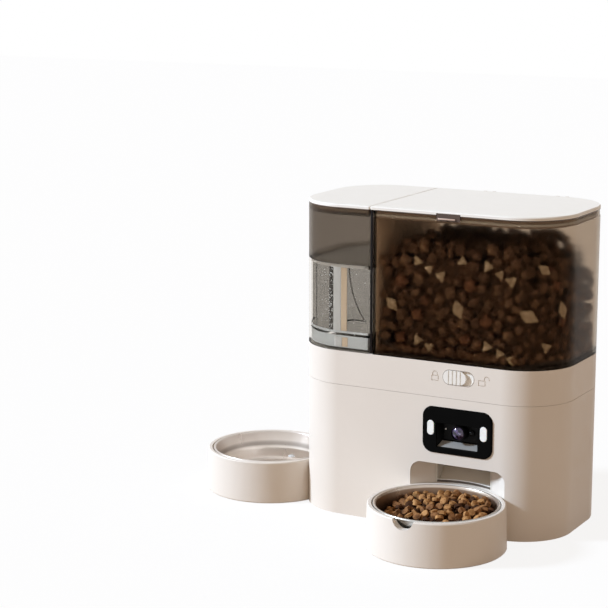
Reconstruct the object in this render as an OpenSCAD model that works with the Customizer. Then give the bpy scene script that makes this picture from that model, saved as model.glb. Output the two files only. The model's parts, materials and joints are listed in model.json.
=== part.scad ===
// Automatic pet feeder: a food hopper and a water tank side by side on a base
// with a camera, a steel food bowl in front and a steel water bowl on the left.
// Millimetres. The origin is on the floor under the middle of the body,
// +X to the right seen from the front, +Y to the back, +Z up.

/* [Body] */
// Width of the body across the front
body_w = 300; // [285:1:330]
// Depth of the body from front to back
body_d = 165; // [158:1:185]
// Radius of the upright corners of the body
corner_r = 57; // [45:1:62]
// Wall of the base shell and the deck
wall = 2.5; // [2:0.1:3]
// Height of the base shell
base_h = 141.5; // [138:0.5:150]
// Height of the deck band above the base shell
deck_h = 36.5; // [34:0.5:42]
// Thickness of the deck's top plate
deck_t = 3; // [2.5:0.1:4]
// Overall height to the top of the lids
total_h = 333; // [300:1:370]
// Thickness of the bottom plate
plate_t = 2.5; // [2:0.1:3.5]
// Sideways place of the food outlet, the camera and the food bowl
feed_x = 46.5; // [40:0.5:52]

/* [Bowls] */
// Radius of a bowl tray at its foot
tray_r = 71.5; // [68:0.5:74]
// How much narrower a tray is at its top
tray_draft = 1.5; // [0.5:0.1:2.5]
// Height of a bowl tray
tray_h = 45.5; // [42:0.5:50]
// Wall of a bowl tray
tray_wall = 2.6; // [2:0.1:3.2]
// Width of the rim that shows round a steel bowl
tray_rim = 4.6; // [3.5:0.1:6]
// Sheet of a steel bowl
steel_t = 0.8; // [0.6:0.1:1.2]
// Radius of a steel bowl where its floor begins to turn up
bowl_floor_r = 44; // [38:1:48]
// Height of a steel bowl's underside above the floor
bowl_z = 8; // [6.5:0.5:12]
// How far the food tray's centre stands in front of the body
food_out = 48.5; // [46:0.5:54]
// How far the water tray's centre stands outside the body's left side
water_out = 56; // [54:0.5:60]
// Front to back place of the water tray and the tank's valve
water_y = -26; // [-30:1:-20]
// Height of the recess that a tray stands in
pocket_h = 71; // [70:0.5:75]
// Corner radius at the top of a recess
pocket_corner_r = 12; // [6:1:16]

/* [Hopper and tank] */
// Width of the water tank
tank_w = 94.5; // [88:0.5:98]
// Gap between the tank and the hopper
tank_gap = 3; // [2:0.1:4]
// Wall of the hopper and the tank
clear_wall = 2.4; // [2:0.1:3]
// Thickness of the lids
lid_t = 4; // [3:0.1:6]
// Height of the clear lower half of the tank
tank_clear_h = 92; // [70:1:105]
// Height of the tank's inner floor above the deck
tank_floor_h = 16; // [15:0.5:24]
// Height of the hopper's stepped rim
rim_h = 6.8; // [5:0.1:9]
// Slope of the hopper's funnel
funnel_deg = 35; // [30:1:38]
// Inner radius of the metering chamber
chamber_r = 52; // [48:0.5:54]
// Height of the metering chamber
chamber_h = 34; // [30:0.5:36]
// How far the metering chamber's floor lies under the deck's top
chamber_drop = 65; // [63:0.5:66]
// Front to back place of the feed rotor
rotor_y = 4; // [3:0.5:6]
// Number of vanes on the feed rotor
vane_count = 6; // [5:1:8]
// Thickness of a rotor vane
vane_t = 2.6; // [2:0.1:4]

/* [Camera] */
// Width of the camera panel
panel_w = 77.8; // [76:0.2:82]
// Height of the camera panel
panel_h = 48.6; // [46:0.2:50]
// Corner radius of the camera panel
panel_r = 11; // [6:0.5:14]
// How far the camera panel stands out of the front
panel_proud = 1.8; // [1.2:0.1:5]
// How far the camera panel stands above the middle of the band over the recess
panel_up = 0.75; // [0:0.25:1.5]
// Distance between the two lamp windows
lamp_spacing = 59; // [58:0.5:62]
// Radius of the camera's lens barrel
lens_r = 8.2; // [6:0.1:8.4]

/* [Lock] */
// Width of the lock slider's slot
slot_w = 34; // [30:0.5:38]
// Height of the lock slider's slot
slot_h = 14.8; // [12:0.2:16]
// Width of the lock slider's knob
knob_w = 25.4; // [22:0.2:27]
// Height of the slot's middle below the deck's top
slot_drop = 14.2; // [13:0.2:16]

/* [Drive] */
// Module of the gears
gear_module = 0.8; // [0.7:0.05:0.85]
// Teeth on the drive gear
gear_teeth = 45; // [40:1:45]
// Teeth on the motor pinion
pinion_teeth = 18; // [17:1:20]
// Thickness of the drive gear
gear_t = 7; // [5:0.5:8]
// Radius of the rotor's drive shaft
shaft_r = 4; // [3.5:0.1:4.5]
// Radius of the motor's can
motor_r = 13; // [11:0.5:14]
// Length of the motor's can
motor_l = 40; // [30:1:45]

/* [Water feed] */
// Outer radius of the feed pipe
pipe_r = 12; // [11:0.5:14]
// Height of the feed pipe's mouth, which sets the water level
water_level = 28; // [24:1:32]
// Outer radius of the reservoir under the feed pipe
reservoir_r = 24; // [20:0.5:25]
// Radius of the tank's valve nozzle
nozzle_r = 9.4; // [8.5:0.1:9.5]

/* [Hidden] */
$fn = 96;

// Fits: a small gap between fixed neighbours, and a running gap between moving ones
fit = 0.2;
run = 0.4;

// Finishes
cream = "#ece4dc";
smoke = "#5a4a3e";
clear_grey = "#b9c0c4";
black = "#161616";
steel = "#c9c9c7";
rubber = "#3a3a3a";
white = "#f4f4f2";
board_green = "#1f5a3a";
brass = "#b08d57";

// Main planes and edges
left_x = -body_w / 2;
right_x = body_w / 2;
front_y = -body_d / 2;
back_y = body_d / 2;
deck_z = base_h + deck_h;
lid_z = total_h - lid_t;
seam = 0.3;
tank_x1 = left_x + tank_w;
hopper_x0 = tank_x1 + tank_gap;
lid_seam_x = tank_x1;
edge_r = 3;

// Bowl and tray places
food_y = front_y - food_out;
water_x = left_x - water_out;
pocket_r = tray_r + 1;
food_arch = sqrt(pow(pocket_r, 2) - pow(food_out, 2)) - 1;
water_arch = sqrt(pow(pocket_r, 2) - pow(water_out, 2)) - 1;
tray_top_r = tray_r - tray_draft;
seat_r = tray_top_r - tray_rim;
lip_r = 1.3;
bowl_r = seat_r - fit - lip_r;
ledge_w = 3;
ledge_z = tray_h - 2.4;
neck_w = 40;
neck_h = 26;
neck_x = left_x + 21;
stub_z = 14;
stub_r = 4;

// Distance of the valve's axis from the left face
valve_in = 49;

// Plates and feet under the base
plate_z = 1;
plate_top = plate_z + plate_t;
foot_r = 9;
foot_h = 1.6;
screw_r = 1.5;
boss_r = 4;
boss_h = 24;
boss_in = wall + boss_r - 1;
screw_spots = [[left_x + boss_in, water_y + 50.5], [right_x - boss_in, 10], [-50, back_y - boss_in],
    [86, back_y - boss_in],
    [-72, front_y + boss_in]];

// Battery bay for three D cells lying across the body
cell_d = 34.2;
cell_l = 61.5;
bay_wall = 2;
bay_x0 = left_x + valve_in + reservoir_r + 4.5;
bay_w = cell_l + 6 + 2 * bay_wall;
bay_x1 = bay_x0 + bay_w;
bay_d = 3 * cell_d + 2 + 2 * bay_wall;
bay_h = cell_d + 3;
door_lip = 2.6;
door_lip_t = 1.2;
foot_in = 38;
foot_back_y = back_y - 28.5;
foot_spots = [[left_x + foot_in + 24, foot_back_y], [right_x - foot_in, foot_back_y],
    [bay_x0 - door_lip - foot_r - 2, front_y + 31], [right_x - foot_in, front_y + 46.5]];

// Food path and drive
floor_t = 3;
chamber_floor_z = deck_z - chamber_drop;
chamber_wall = 2.4;
funnel_z = chamber_floor_z + chamber_h;
chute_w = 60;
chute_wall = 2;
chute_top_z = chamber_floor_z - floor_t - fit;
mouth_z0 = tray_h + 3;
mouth_z1 = pocket_h - 1;
pinion_y = rotor_y + gear_module * (gear_teeth + pinion_teeth) / 2;
gear_z = chute_top_z - 24;
bracket_t = 3;
bracket_z = gear_z - 3 - bracket_t;
bush_r = shaft_r + 2.5;
dog_r = 4.6;
dog_h = 14;
hub_r = 11;
rotor_gap = 1;
rotor_r = chamber_r - 1.2;
post_r = 4;
bracket_w = 64;
bracket_y0 = rotor_y - 14;
bracket_y1 = pinion_y + 22;
post_spots = [for (x = [-1, 1], y = [bracket_y0 + 6,
    bracket_y1 - 6]) [feed_x + x * (bracket_w / 2 - 6), y]];

// Camera
panel_z = (pocket_h + base_h) / 2 + panel_up;
panel_t = panel_proud + 1;
panel_face_y = front_y - panel_proud;
window_w = 46;
window_h = 26;
window_z = panel_z - 5;
cup_wall = 1.6;
cup_depth = 10;
lamp_w = 7.6;
lamp_h = 15.6;
lamp_z = panel_z + 2;
lens_z = window_z + 3.5;

// Hopper, tank and lids
shell_z = deck_z;
shell_top = lid_z - 0.3;
bead_w = 1.6;
bead_h = 2.5;
flange_t = 3;
rim_step = 0.7;
skirt_inset = clear_wall + 1;
skirt_t = 1.8;
skirt_drop = 8;
floor_inset = 7;
floor_skirt_t = 2.4;
latch_x = feed_x - 14;
latch_w = 26;
latch_t = 1.2;
latch_h = 7.6;
hinge_r = 1.6;
knuckle_r = 3.6;
knuckle_w = 14;
hinge_y = back_y + knuckle_r + 0.2;
hinge_z = lid_z;
hinge_spots = [feed_x - 42, feed_x + 42];
tank_split_z = shell_z + tank_clear_h;
tank_floor_z = deck_z + tank_floor_h;
valve_x = left_x + valve_in;
nozzle_l = 12;
cap_r = 20;
neck_r = 16;
cap_z = deck_z + 2;
pipe_top = deck_z - deck_t;

// A rectangle from x0 to x1, centred front to back, with its own left and right corner radii
module rect4(x0, x1, d, rl, rr) {
    translate([x0 + rl, -d / 2]) square([x1 - x0 - rl - rr, d]);
    translate([x0, -d / 2 + rl]) square([rl + 0.01, d - 2 * rl]);
    translate([x1 - rr - 0.01, -d / 2 + rr]) square([rr + 0.01, d - 2 * rr]);
    for (s = [0, 1]) mirror([0, s]) {
        intersection() {
            translate([x0 + rl, d / 2 - rl]) circle(rl);
            translate([x0 - 1, d / 2 - rl - 0.01]) square([rl + 1.01, rl + 1]);
        }
        intersection() {
            translate([x1 - rr, d / 2 - rr]) circle(rr);
            translate([x1 - rr - 0.01, d / 2 - rr - 0.01]) square(rr + 1);
        }
    }
}

module body_outline(inset) {
    rect4(left_x + inset, right_x - inset, body_d - 2 * inset, corner_r - inset, corner_r - inset);
}

module hopper_outline(inset) {
    rect4(hopper_x0 + inset, right_x - inset, body_d - 2 * inset, max(edge_r - inset, 0.6),
        corner_r - inset);
}

module tank_outline(inset) {
    rect4(left_x + inset, tank_x1 - inset, body_d - 2 * inset, corner_r - inset,
        max(edge_r - inset, 0.6));
}

// A slab on the rect4 outline whose top edge is chamfered
module chamfered_slab(x0, x1, d, rl, rr, h, c) {
    translate([x0 + rl, 0, 0]) rotate([90, 0, 90]) linear_extrude(x1 - x0 - rl - rr)
        polygon([[-d / 2, 0], [d / 2, 0], [d / 2, h - c], [d / 2 - c, h], [-d / 2 + c, h],
            [-d / 2, h - c]]);
    translate([0, d / 2 - rl, 0]) rotate([90, 0, 0]) linear_extrude(d - 2 * rl)
        polygon([[x0, 0], [x0 + rl, 0], [x0 + rl, h], [x0 + c, h], [x0, h - c]]);
    translate([0, d / 2 - rr, 0]) rotate([90, 0, 0]) linear_extrude(d - 2 * rr)
        polygon([[x1, 0], [x1, h - c], [x1 - c, h], [x1 - rr, h], [x1 - rr, 0]]);
    for (s = [0, 1]) mirror([0, s, 0]) {
        intersection() {
            translate([x0 + rl, d / 2 - rl, 0]) chamfered_disc(rl, h, c);
            translate([x0 - 1, d / 2 - rl, -1]) cube([rl + 1, rl + 1, h + 2]);
        }
        intersection() {
            translate([x1 - rr, d / 2 - rr, 0]) chamfered_disc(rr, h, c);
            translate([x1 - rr, d / 2 - rr, -1]) cube([rr + 1, rr + 1, h + 2]);
        }
    }
}

// A disc whose top edge is chamfered
module chamfered_disc(r, h, c) {
    rotate_extrude() polygon([[0, 0], [r, 0], [r, h - c], [r - c, h], [0, h]]);
}

// A pill outline lying along X
module pill(w, h) {
    square([w - h, h], center = true);
    for (s = [-1, 1]) translate([s * (w - h) / 2, 0]) circle(d = h);
}

// A rectangle with one corner radius, about its middle
module round_rect(w, h, r) {
    rect4(-w / 2, w / 2, h, r, r);
}

// Turns a flat outline drawn in X and Z into a plate that reaches back from y
module front_plate(y, t) {
    translate([0, y + t, 0]) rotate([90, 0, 0]) linear_extrude(t) children();
}

// The arch of a recess seen from outside: square feet and rounded top corners
module arch(half_w, h, r) {
    translate([-half_w, -1]) square([2 * half_w, h + 1 - r]);
    translate([-half_w + r, -1]) square([2 * (half_w - r), h + 1]);
    for (s = [-1, 1]) translate([s * (half_w - r), h - r]) circle(r);
}

// The recess in the front for the food tray, or its outside when grown by a wall
module food_pocket(grow) {
    intersection() {
        translate([feed_x, food_y, -1]) cylinder(r = pocket_r + grow, h = pocket_h + grow + 1);
        translate([feed_x, 0, 0]) front_plate(food_y - pocket_r, body_d)
            arch(food_arch + grow, pocket_h + grow, pocket_corner_r + grow);
    }
}

// The recess in the left side for the water tray and its docking neck
module water_pocket(grow) {
    intersection() {
        translate([water_x, water_y, -1]) cylinder(r = pocket_r + grow, h = pocket_h + grow + 1);
        translate([water_x - pocket_r, water_y, 0]) rotate([90, 0, 90])
            linear_extrude(2 * pocket_r + 2 * grow)
            arch(water_arch + grow, pocket_h + grow, pocket_corner_r + grow);
    }
    translate([water_x, water_y - neck_w / 2 - 1 - grow, -1])
        cube([neck_x + 1 + grow - water_x, neck_w + 2 + 2 * grow, neck_h + 2 + grow]);
}

// Outline of both recesses where they cut the bottom plate, with a gap
module pocket_feet(grow) {
    translate([feed_x, food_y]) circle(pocket_r + grow);
    translate([water_x, water_y]) circle(pocket_r + grow);
    translate([water_x, water_y - neck_w / 2 - 1 - grow])
        square([neck_x + 1 + grow - water_x, neck_w + 2 + 2 * grow]);
}

module base_housing() color(cream) {
    difference() {
        linear_extrude(base_h - seam / 2) body_outline(0);
        difference() {
            translate([0, 0, -1]) linear_extrude(base_h + 2) body_outline(wall);
            food_pocket(wall);
            water_pocket(wall);
            for (p = screw_spots) translate([p[0], p[1], plate_top]) cylinder(r = boss_r, h = boss_h);
        }
        food_pocket(0);
        water_pocket(0);
        for (p = screw_spots) translate([p[0], p[1], plate_top - 1])
            cylinder(r = screw_r + 0.1, h = boss_h);
        chute_window();
        camera_window();
        translate([left_x, water_y, stub_z]) rotate([0, 90, 0]) cylinder(r = stub_r + run, h = 40);
        rear_openings();
    }
}

// The window through the recess wall that the chute opens into
module chute_window() {
    translate([feed_x - chute_w / 2 - chute_wall - fit, food_y + pocket_r - 16,
        mouth_z0 - chute_wall - fit])
        cube([chute_w + 2 * chute_wall + 2 * fit, 24, mouth_z1 - mouth_z0 + chute_wall + fit]);
}

// The opening and shallow seat for the camera behind its panel
module camera_window() {
    translate([feed_x, 0, panel_z]) {
        front_plate(front_y - 1, 2) round_rect(panel_w + 2 * fit, panel_h + 2 * fit, panel_r);
        front_plate(front_y - 1, wall + 2) round_rect(lamp_spacing + lamp_w + 1, panel_h - 8, 4);
    }
}

inlet_x = 70;
inlet_z = 22;
inlet_w = 10;
button_x = 42;
button_r = 3.6;
speaker_x = -36;
speaker_z = 84;
speaker_r = 20;
grille_pitch = 5;
grille_r = 1.3;

// Openings in the back: power inlet, pairing button and the speaker's grille
module rear_openings() {
    translate([inlet_x - inlet_w / 2 - fit, back_y - wall - 1, inlet_z - inlet_w / 2 - fit])
        cube([inlet_w + 2 * fit, wall + 2, inlet_w + 2 * fit]);
    translate([button_x, back_y + 1, inlet_z]) rotate([90, 0, 0])
        cylinder(r = button_r + run, h = wall + 2);
    for (i = [-3 : 3], j = [-3 : 3]) {
        p = [grille_pitch * (i + j / 2), grille_pitch * j * sqrt(3) / 2];
        if (norm(p) < speaker_r - 4)
            translate([speaker_x + p[0], back_y + 1, speaker_z + p[1]])
                rotate([90, 0, 0]) cylinder(r = grille_r, h = wall + 2);
    }
}

module base_plate() color(cream) {
    difference() {
        translate([0, 0, plate_z]) linear_extrude(plate_t) difference() {
            body_outline(wall + fit);
            pocket_feet(wall + fit);
            translate([bay_x0 + bay_wall + fit, -bay_d / 2 + bay_wall + fit])
                square([bay_w - 2 * bay_wall - 2 * fit, bay_d - 2 * bay_wall - 2 * fit]);
        }
        for (p = screw_spots) {
            translate([p[0], p[1], 0]) cylinder(r = screw_r + 0.2, h = 10);
            translate([p[0], p[1], 0]) cylinder(r = 2 * screw_r + 0.2, h = plate_z + 1.2);
        }
        for (p = foot_spots) translate([p[0], p[1], 0]) cylinder(r = foot_r + fit, h = foot_h);
        bay_plug(-door_lip - fit, plate_z - 1, door_lip_t + 1);
    }
}

// Block on the battery bay's outline, shrunk by inset
module bay_plug(inset, z, h) {
    translate([bay_x0 + bay_wall + fit + inset, -bay_d / 2 + bay_wall + fit + inset, z])
        cube([bay_w - 2 * (bay_wall + fit + inset), bay_d - 2 * (bay_wall + fit + inset), h]);
}

module base_screws() color(steel) {
    for (p = screw_spots) translate([p[0], p[1], 0]) difference() {
        union() {
            translate([0, 0, plate_z + 1.2]) mirror([0, 0, 1]) cylinder(r = 2 * screw_r, h = 1.1);
            translate([0, 0, plate_z + 1.2 - 0.1]) cylinder(r = screw_r, h = 14);
        }
        for (a = [0, 90]) rotate(a) translate([-2, -0.4, 0]) cube([4, 0.8, plate_z + 0.6]);
    }
}

module rubber_feet() color(rubber) {
    for (p = foot_spots) translate([p[0], p[1], 0]) {
        cylinder(r1 = foot_r - 0.6, r2 = foot_r, h = 0.6);
        translate([0, 0, 0.6]) cylinder(r = foot_r, h = foot_h - 0.6);
    }
}

// Open box that stands on the bottom plate and holds three cells
module battery_box() color(black) {
    translate([bay_x0, -bay_d / 2, plate_top]) difference() {
        cube([bay_w, bay_d, bay_h]);
        translate([bay_wall, bay_wall, -1]) cube([bay_w - 2 * bay_wall, bay_d - 2 * bay_wall,
            bay_h - bay_wall + 1]);
    }
}

// Spring plates at both ends of each cell
module battery_contacts() color(steel) {
    for (i = [-1 : 1], s = [0, 1])
        translate([s ? bay_x1 - bay_wall - 0.5 : bay_x0 + bay_wall, i * (cell_d + 0.5) - 7,
            plate_top + 6])
            cube([0.5, 14, cell_d - 12]);
}

module battery_door() color(cream) {
    difference() {
        union() {
            bay_plug(-door_lip + run - fit, plate_z, door_lip_t);
            bay_plug(run, plate_z, plate_t);
        }
        for (i = [-2 : 2]) translate([bay_x0 + bay_w / 2 - 9, bay_d / 2 - 18 + 2.6 * i, plate_z - 0.4])
            cube([18, 1.2, 1]);
    }
}

module top_deck() color(cream) {
    difference() {
        union() {
            translate([0, 0, base_h + seam / 2]) linear_extrude(deck_h - seam / 2) body_outline(0);
            translate([0, 0, base_h - 6]) linear_extrude(9) body_outline(wall + fit);
        }
        translate([0, 0, base_h - 8]) linear_extrude(14) body_outline(wall + fit + 1.6);
        translate([0, 0, base_h + 4]) linear_extrude(deck_h - 4 - deck_t) body_outline(wall);
        translate([0, 0, deck_z - deck_t - 1]) linear_extrude(deck_t + 2) hopper_outline(floor_inset - 1);
        translate([valve_x, water_y, deck_z - deck_t - 1]) cylinder(r = nozzle_r + 1.2, h = deck_t + 2);
        translate([feed_x, 0, deck_z - slot_drop]) front_plate(front_y - 1, wall + 4)
            pill(slot_w, slot_h);
        lock_marks();
    }
    translate([feed_x - slot_w / 2 - 16, front_y + wall - 0.5, deck_z - slot_drop - slot_h / 2 - 4.6])
        cube([slot_w + 32, 3.9, 1.6]);
}

mark_w = 8;
mark_line = 0.8;
mark_depth = 0.9;
mark_gap = 9;

// Engraved signs beside the slot: a closed padlock on the left and an open one on the right
module lock_marks() {
    translate([feed_x, 0, deck_z - slot_drop]) {
        translate([-slot_w / 2 - mark_gap, 0, 0]) front_plate(front_y - 1, mark_depth + 1) padlock(0);
        translate([slot_w / 2 + mark_gap, 0, 0]) front_plate(front_y - 1, mark_depth + 1)
            padlock(mark_w - 2.6);
    }
}

// A padlock in outline, whose shackle is moved sideways by swing
module padlock(swing) {
    difference() {
        translate([0, -2.4]) round_rect(mark_w, 6, 0.9);
        translate([0, -2.4]) round_rect(mark_w - 2 * mark_line, 6 - 2 * mark_line, 0.4);
    }
    translate([swing, 2.2]) difference() {
        circle(2.6 + mark_line / 2);
        circle(2.6 - mark_line / 2);
        translate([-4, -8]) square([8, 8]);
    }
    for (s = [-1, 1]) translate([swing + s * 2.6 - mark_line / 2, swing > 0 && s > 0 ? 0.9 : 0.4])
        square([mark_line, swing > 0 && s > 0 ? 1.4 : 1.9]);
}

// Sloped duct from the metering chamber's outlet to the recess above the food bowl
module food_chute() color(cream) {
    back_top = rotor_y - 14;
    front_top = rotor_y - chamber_r + 1;
    back_low = food_y + pocket_r + 1;
    front_low = front_y + 30;
    mid_z = panel_z - panel_h / 2 - 4;
    duct = [[back_top, chute_top_z], [front_top, chute_top_z], [front_low, mid_z],
        [front_low, mouth_z1 - chute_wall],
        [front_y, mouth_z1 - chute_wall], [front_y, mouth_z0], [back_low, mouth_z0]];
    shell = [[back_top + 2 * chute_wall, chute_top_z], [front_top - chute_wall, chute_top_z],
        [front_low - chute_wall, mid_z], [front_low - chute_wall, mouth_z1 - fit],
            [front_y, mouth_z1 - fit],
        [front_y, mouth_z0 - chute_wall], [back_low + chute_wall, mouth_z0 - chute_wall]];
    difference() {
        translate([feed_x - chute_w / 2 - chute_wall, 0, 0]) rotate([90, 0, 90])
            linear_extrude(chute_w + 2 * chute_wall) polygon(shell);
        translate([feed_x - chute_w / 2, 0, 0.01]) rotate([90, 0, 90]) linear_extrude(chute_w)
            polygon(duct);
        translate([feed_x - chute_w / 2, front_top, chute_top_z - 1])
            cube([chute_w, back_top - front_top, 2]);
        translate([feed_x, food_y, 0]) cylinder(r = pocket_r, h = 2 * pocket_h);
    }
}

// Bench for the motor and the drive shaft's bush, on four posts
module motor_bracket() color(black) {
    difference() {
        union() {
            translate([feed_x - bracket_w / 2, bracket_y0, bracket_z])
                cube([bracket_w, bracket_y1 - bracket_y0, bracket_t]);
            for (p = post_spots) translate([p[0], p[1], plate_top])
                cylinder(r = post_r, h = bracket_z - plate_top + 1);
        }
        translate([feed_x, rotor_y, bracket_z - 1]) cylinder(r = bush_r, h = bracket_t + 2);
        translate([feed_x, pinion_y, bracket_z - 1]) cylinder(r = 4, h = bracket_t + 2);
    }
}

// Flanged bush that the drive shaft turns in
module shaft_bush() color(brass) {
    translate([feed_x, rotor_y, 0]) difference() {
        union() {
            translate([0, 0, bracket_z - 3]) cylinder(r = bush_r, h = bracket_t + 3);
            translate([0, 0, bracket_z + bracket_t]) cylinder(r = bush_r + 1.5, h = 1.5);
        }
        translate([0, 0, bracket_z - 4]) cylinder(r = shaft_r + 0.05, h = bracket_t + 8);
    }
}

spindle_r = 1.5;
spindle_l = 12;

module gear_motor() color(steel) {
    translate([feed_x, pinion_y, bracket_z - motor_l]) {
        difference() {
            cylinder(r = motor_r, h = motor_l);
            for (s = [-1, 1]) translate([s * (motor_r + 8), 0, -1]) cube([18, 18, 16], center = true);
            translate([0, 0, motor_l - spindle_l]) cylinder(r = spindle_r + 0.05, h = spindle_l + 1);
        }
        translate([0, 0, -2]) cylinder(r = 5, h = 2.5);
        for (s = [-1, 1]) translate([s * 8 - 1, -0.4, -5]) cube([2, 0.8, 5.5]);
    }
}

function inv(a) = tan(a) - a * PI / 180;
function tooth_half(r, rb, rp, n, play) = 90 / n - play / rp * 90 / PI + (inv(20) - inv(acos(min(1,
    rb / r)))) * 180 / PI;

// Involute spur gear outline with a tooth centred on +X
module gear_outline(n, m, play) {
    rp = m * n / 2;
    rb = rp * cos(20);
    ro = rp + m;
    ri = rp - 1.25 * m;
    steps = 5;
    rs = [for (i = [0 : steps]) max(rb, ri) + (ro - max(rb, ri)) * i / steps];
    polygon([for (k = [0 : n - 1]) let (a = 360 * k / n) each concat(
        [ri * [cos(a - 180 / n), sin(a - 180 / n)]],
        [ri * [cos(a - tooth_half(rs[0], rb, rp, n, play)), sin(a - tooth_half(rs[0], rb, rp, n, play))]],
        [for (r = rs) r * [cos(a - tooth_half(r, rb, rp, n, play)),
            sin(a - tooth_half(r, rb, rp, n, play))]],
        [for (i = [steps : -1 : 0]) rs[i] * [cos(a + tooth_half(rs[i], rb, rp, n, play)),
            sin(a + tooth_half(rs[i], rb, rp, n, play))]],
        [ri * [cos(a + tooth_half(rs[0], rb, rp, n, play)),
            sin(a + tooth_half(rs[0], rb, rp, n, play))]])]);
}

gear_play = 0.12;

// Gear, shaft and six-sided drive dog that turns the rotor
module drive_gear() color(white) {
    translate([feed_x, rotor_y, 0]) {
        translate([0, 0, gear_z]) rotate(90) linear_extrude(gear_t)
            gear_outline(gear_teeth, gear_module, gear_play);
        translate([0, 0, bracket_z - 6]) cylinder(r = shaft_r, h = gear_z - bracket_z + 6 + 1);
        translate([0, 0, bracket_z + bracket_t + 1.5])
            cylinder(r = bush_r, h = gear_z - bracket_z - bracket_t - 1);
        translate([0, 0, gear_z + gear_t - 1])
            cylinder(r = shaft_r, h = chamber_floor_z - gear_z - gear_t + 1);
        translate([0, 0, chamber_floor_z - 1]) cylinder(r = dog_r, h = dog_h, $fn = 6);
    }
}

module motor_pinion() color(brass) {
    translate([feed_x, pinion_y, 0]) {
        translate([0, 0, gear_z - 0.5]) linear_extrude(gear_t + 1)
            gear_outline(pinion_teeth, gear_module, gear_play);
        translate([0, 0, bracket_z + bracket_t]) cylinder(r = 3, h = gear_z - bracket_z - bracket_t);
        translate([0, 0, bracket_z - spindle_l]) cylinder(r = spindle_r, h = spindle_l + bracket_t + 1);
    }
}

board_x0 = feed_x + 38;
board_w = right_x - 19.5 - board_x0;
board_d = 84;
board_y0 = back_y - 20.5 - board_d;
board_z = 52;
board_t = 1.6;
board_spots = [for (x = [4, board_w - 4], y = [4, board_d - 4]) [board_x0 + x, board_y0 + y]];

// Control board with its chips, radio module and plugs
module main_board() color(board_green) {
    difference() {
        translate([board_x0, board_y0, board_z]) cube([board_w, board_d, board_t]);
        for (p = board_spots) translate([p[0], p[1], board_z - 1]) cylinder(r = 1.3, h = 4);
    }
    translate([board_x0 + 8, board_y0 + 12, board_z + board_t]) cube([14, 14, 1.6]);
    translate([board_x0 + board_w - 32, board_y0 + 46, board_z + board_t]) cube([18, 25, 2.8]);
    for (i = [0 : 3]) translate([board_x0 + board_w - 20, board_y0 + 10 + 8 * i, board_z + board_t])
        cube([10, 6, 5]);
    for (i = [0 : 1]) translate([board_x0 + 9 + 10 * i, board_y0 + 36, board_z + board_t])
        cylinder(r = 3, h = 8);
}

module board_posts() color(black) {
    for (p = board_spots) translate([p[0], p[1], plate_top]) {
        cylinder(r = 3, h = board_z - plate_top);
        cylinder(r = 1.2, h = board_z - plate_top + board_t + 1.5);
    }
}

// Glossy front panel with a window for the camera and two lamp openings
module camera_panel() color(black) {
    translate([feed_x, 0, panel_z]) difference() {
        union() {
            front_plate(panel_face_y + 1, panel_t - 1) round_rect(panel_w, panel_h, panel_r);
            front_plate(panel_face_y, panel_t) round_rect(panel_w - 2, panel_h - 2, panel_r - 1);
        }
        translate([0, 0, window_z - panel_z]) front_plate(panel_face_y - 1, panel_t + 2)
            round_rect(window_w, window_h, 1.5);
        for (s = [-1, 1]) translate([s * lamp_spacing / 2, 0, lamp_z - panel_z])
            front_plate(panel_face_y - 1, panel_t + 2) rotate(90)
                pill(lamp_h + 2 * fit, lamp_w + 2 * fit);
    }
}

// Cup behind the window, with sloped sides, that carries the lens and the motion sensor
module camera_housing() color(black) {
    y0 = panel_face_y + panel_t;
    translate([feed_x, 0, window_z]) difference() {
        front_plate(y0, cup_depth) round_rect(window_w + 2 * cup_wall, window_h + 2 * cup_wall, 2);
        hull() {
            front_plate(y0 - 0.1, 0.1) square([window_w, window_h], center = true);
            translate([0, 0, 3]) front_plate(y0 + cup_depth - cup_wall, 0.1)
                square([window_w - 8, window_h - 7], center = true);
        }
        translate([0, y0 + cup_depth + 1, lens_z - window_z]) rotate([90, 0, 0])
            cylinder(r = lens_r - 1.4, h = 6);
        translate([sensor_x, y0 + cup_depth + 1, lens_z - window_z]) rotate([90, 0, 0])
            cylinder(r = sensor_r - 0.5, h = 6);
    }
}

sensor_x = 12.2;
sensor_r = 3.2;

// Stepped black barrel round the lens, plugged into the cup
module lens_barrel() color(black) {
    y0 = panel_face_y + panel_t + cup_depth - cup_wall;
    translate([feed_x, y0, lens_z]) rotate([90, 0, 0]) difference() {
        union() {
            translate([0, 0, -cup_wall]) cylinder(r = lens_r - 1.4 - fit / 2, h = cup_wall + 1);
            cylinder(r = lens_r, h = barrel_h - 1.6);
            cylinder(r = lens_r - barrel_step, h = barrel_h);
        }
        translate([0, 0, glass_z]) cylinder(r = glass_r, h = barrel_h);
    }
}

barrel_h = cup_depth - cup_wall + 1.2;
barrel_step = 0.6;
glass_z = 4;
glass_r = lens_r - barrel_step - 0.5;

// Glass front element, domed outwards
module camera_lens() color("#2a2638") {
    y0 = panel_face_y + panel_t + cup_depth - cup_wall;
    dome_r = 1.4 * glass_r;
    dome_top = barrel_h + 1.3;
    translate([feed_x, y0, lens_z]) rotate([90, 0, 0]) intersection() {
        translate([0, 0, glass_z]) cylinder(r = glass_r - 0.05, h = 2 * barrel_h);
        translate([0, 0, dome_top - dome_r]) sphere(dome_r);
    }
}

module motion_sensor() color("#222228") {
    y0 = panel_face_y + panel_t + cup_depth - cup_wall;
    translate([feed_x + sensor_x, y0, lens_z]) rotate([90, 0, 0]) {
        translate([0, 0, -cup_wall]) cylinder(r = sensor_r - 0.6, h = cup_wall + 1);
        cylinder(r = sensor_r, h = 2.5);
        intersection() {
            translate([0, 0, 2]) cylinder(r = sensor_r - 0.5, h = 4);
            translate([0, 0, 0.6]) sphere(4.2);
        }
    }
}

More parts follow.
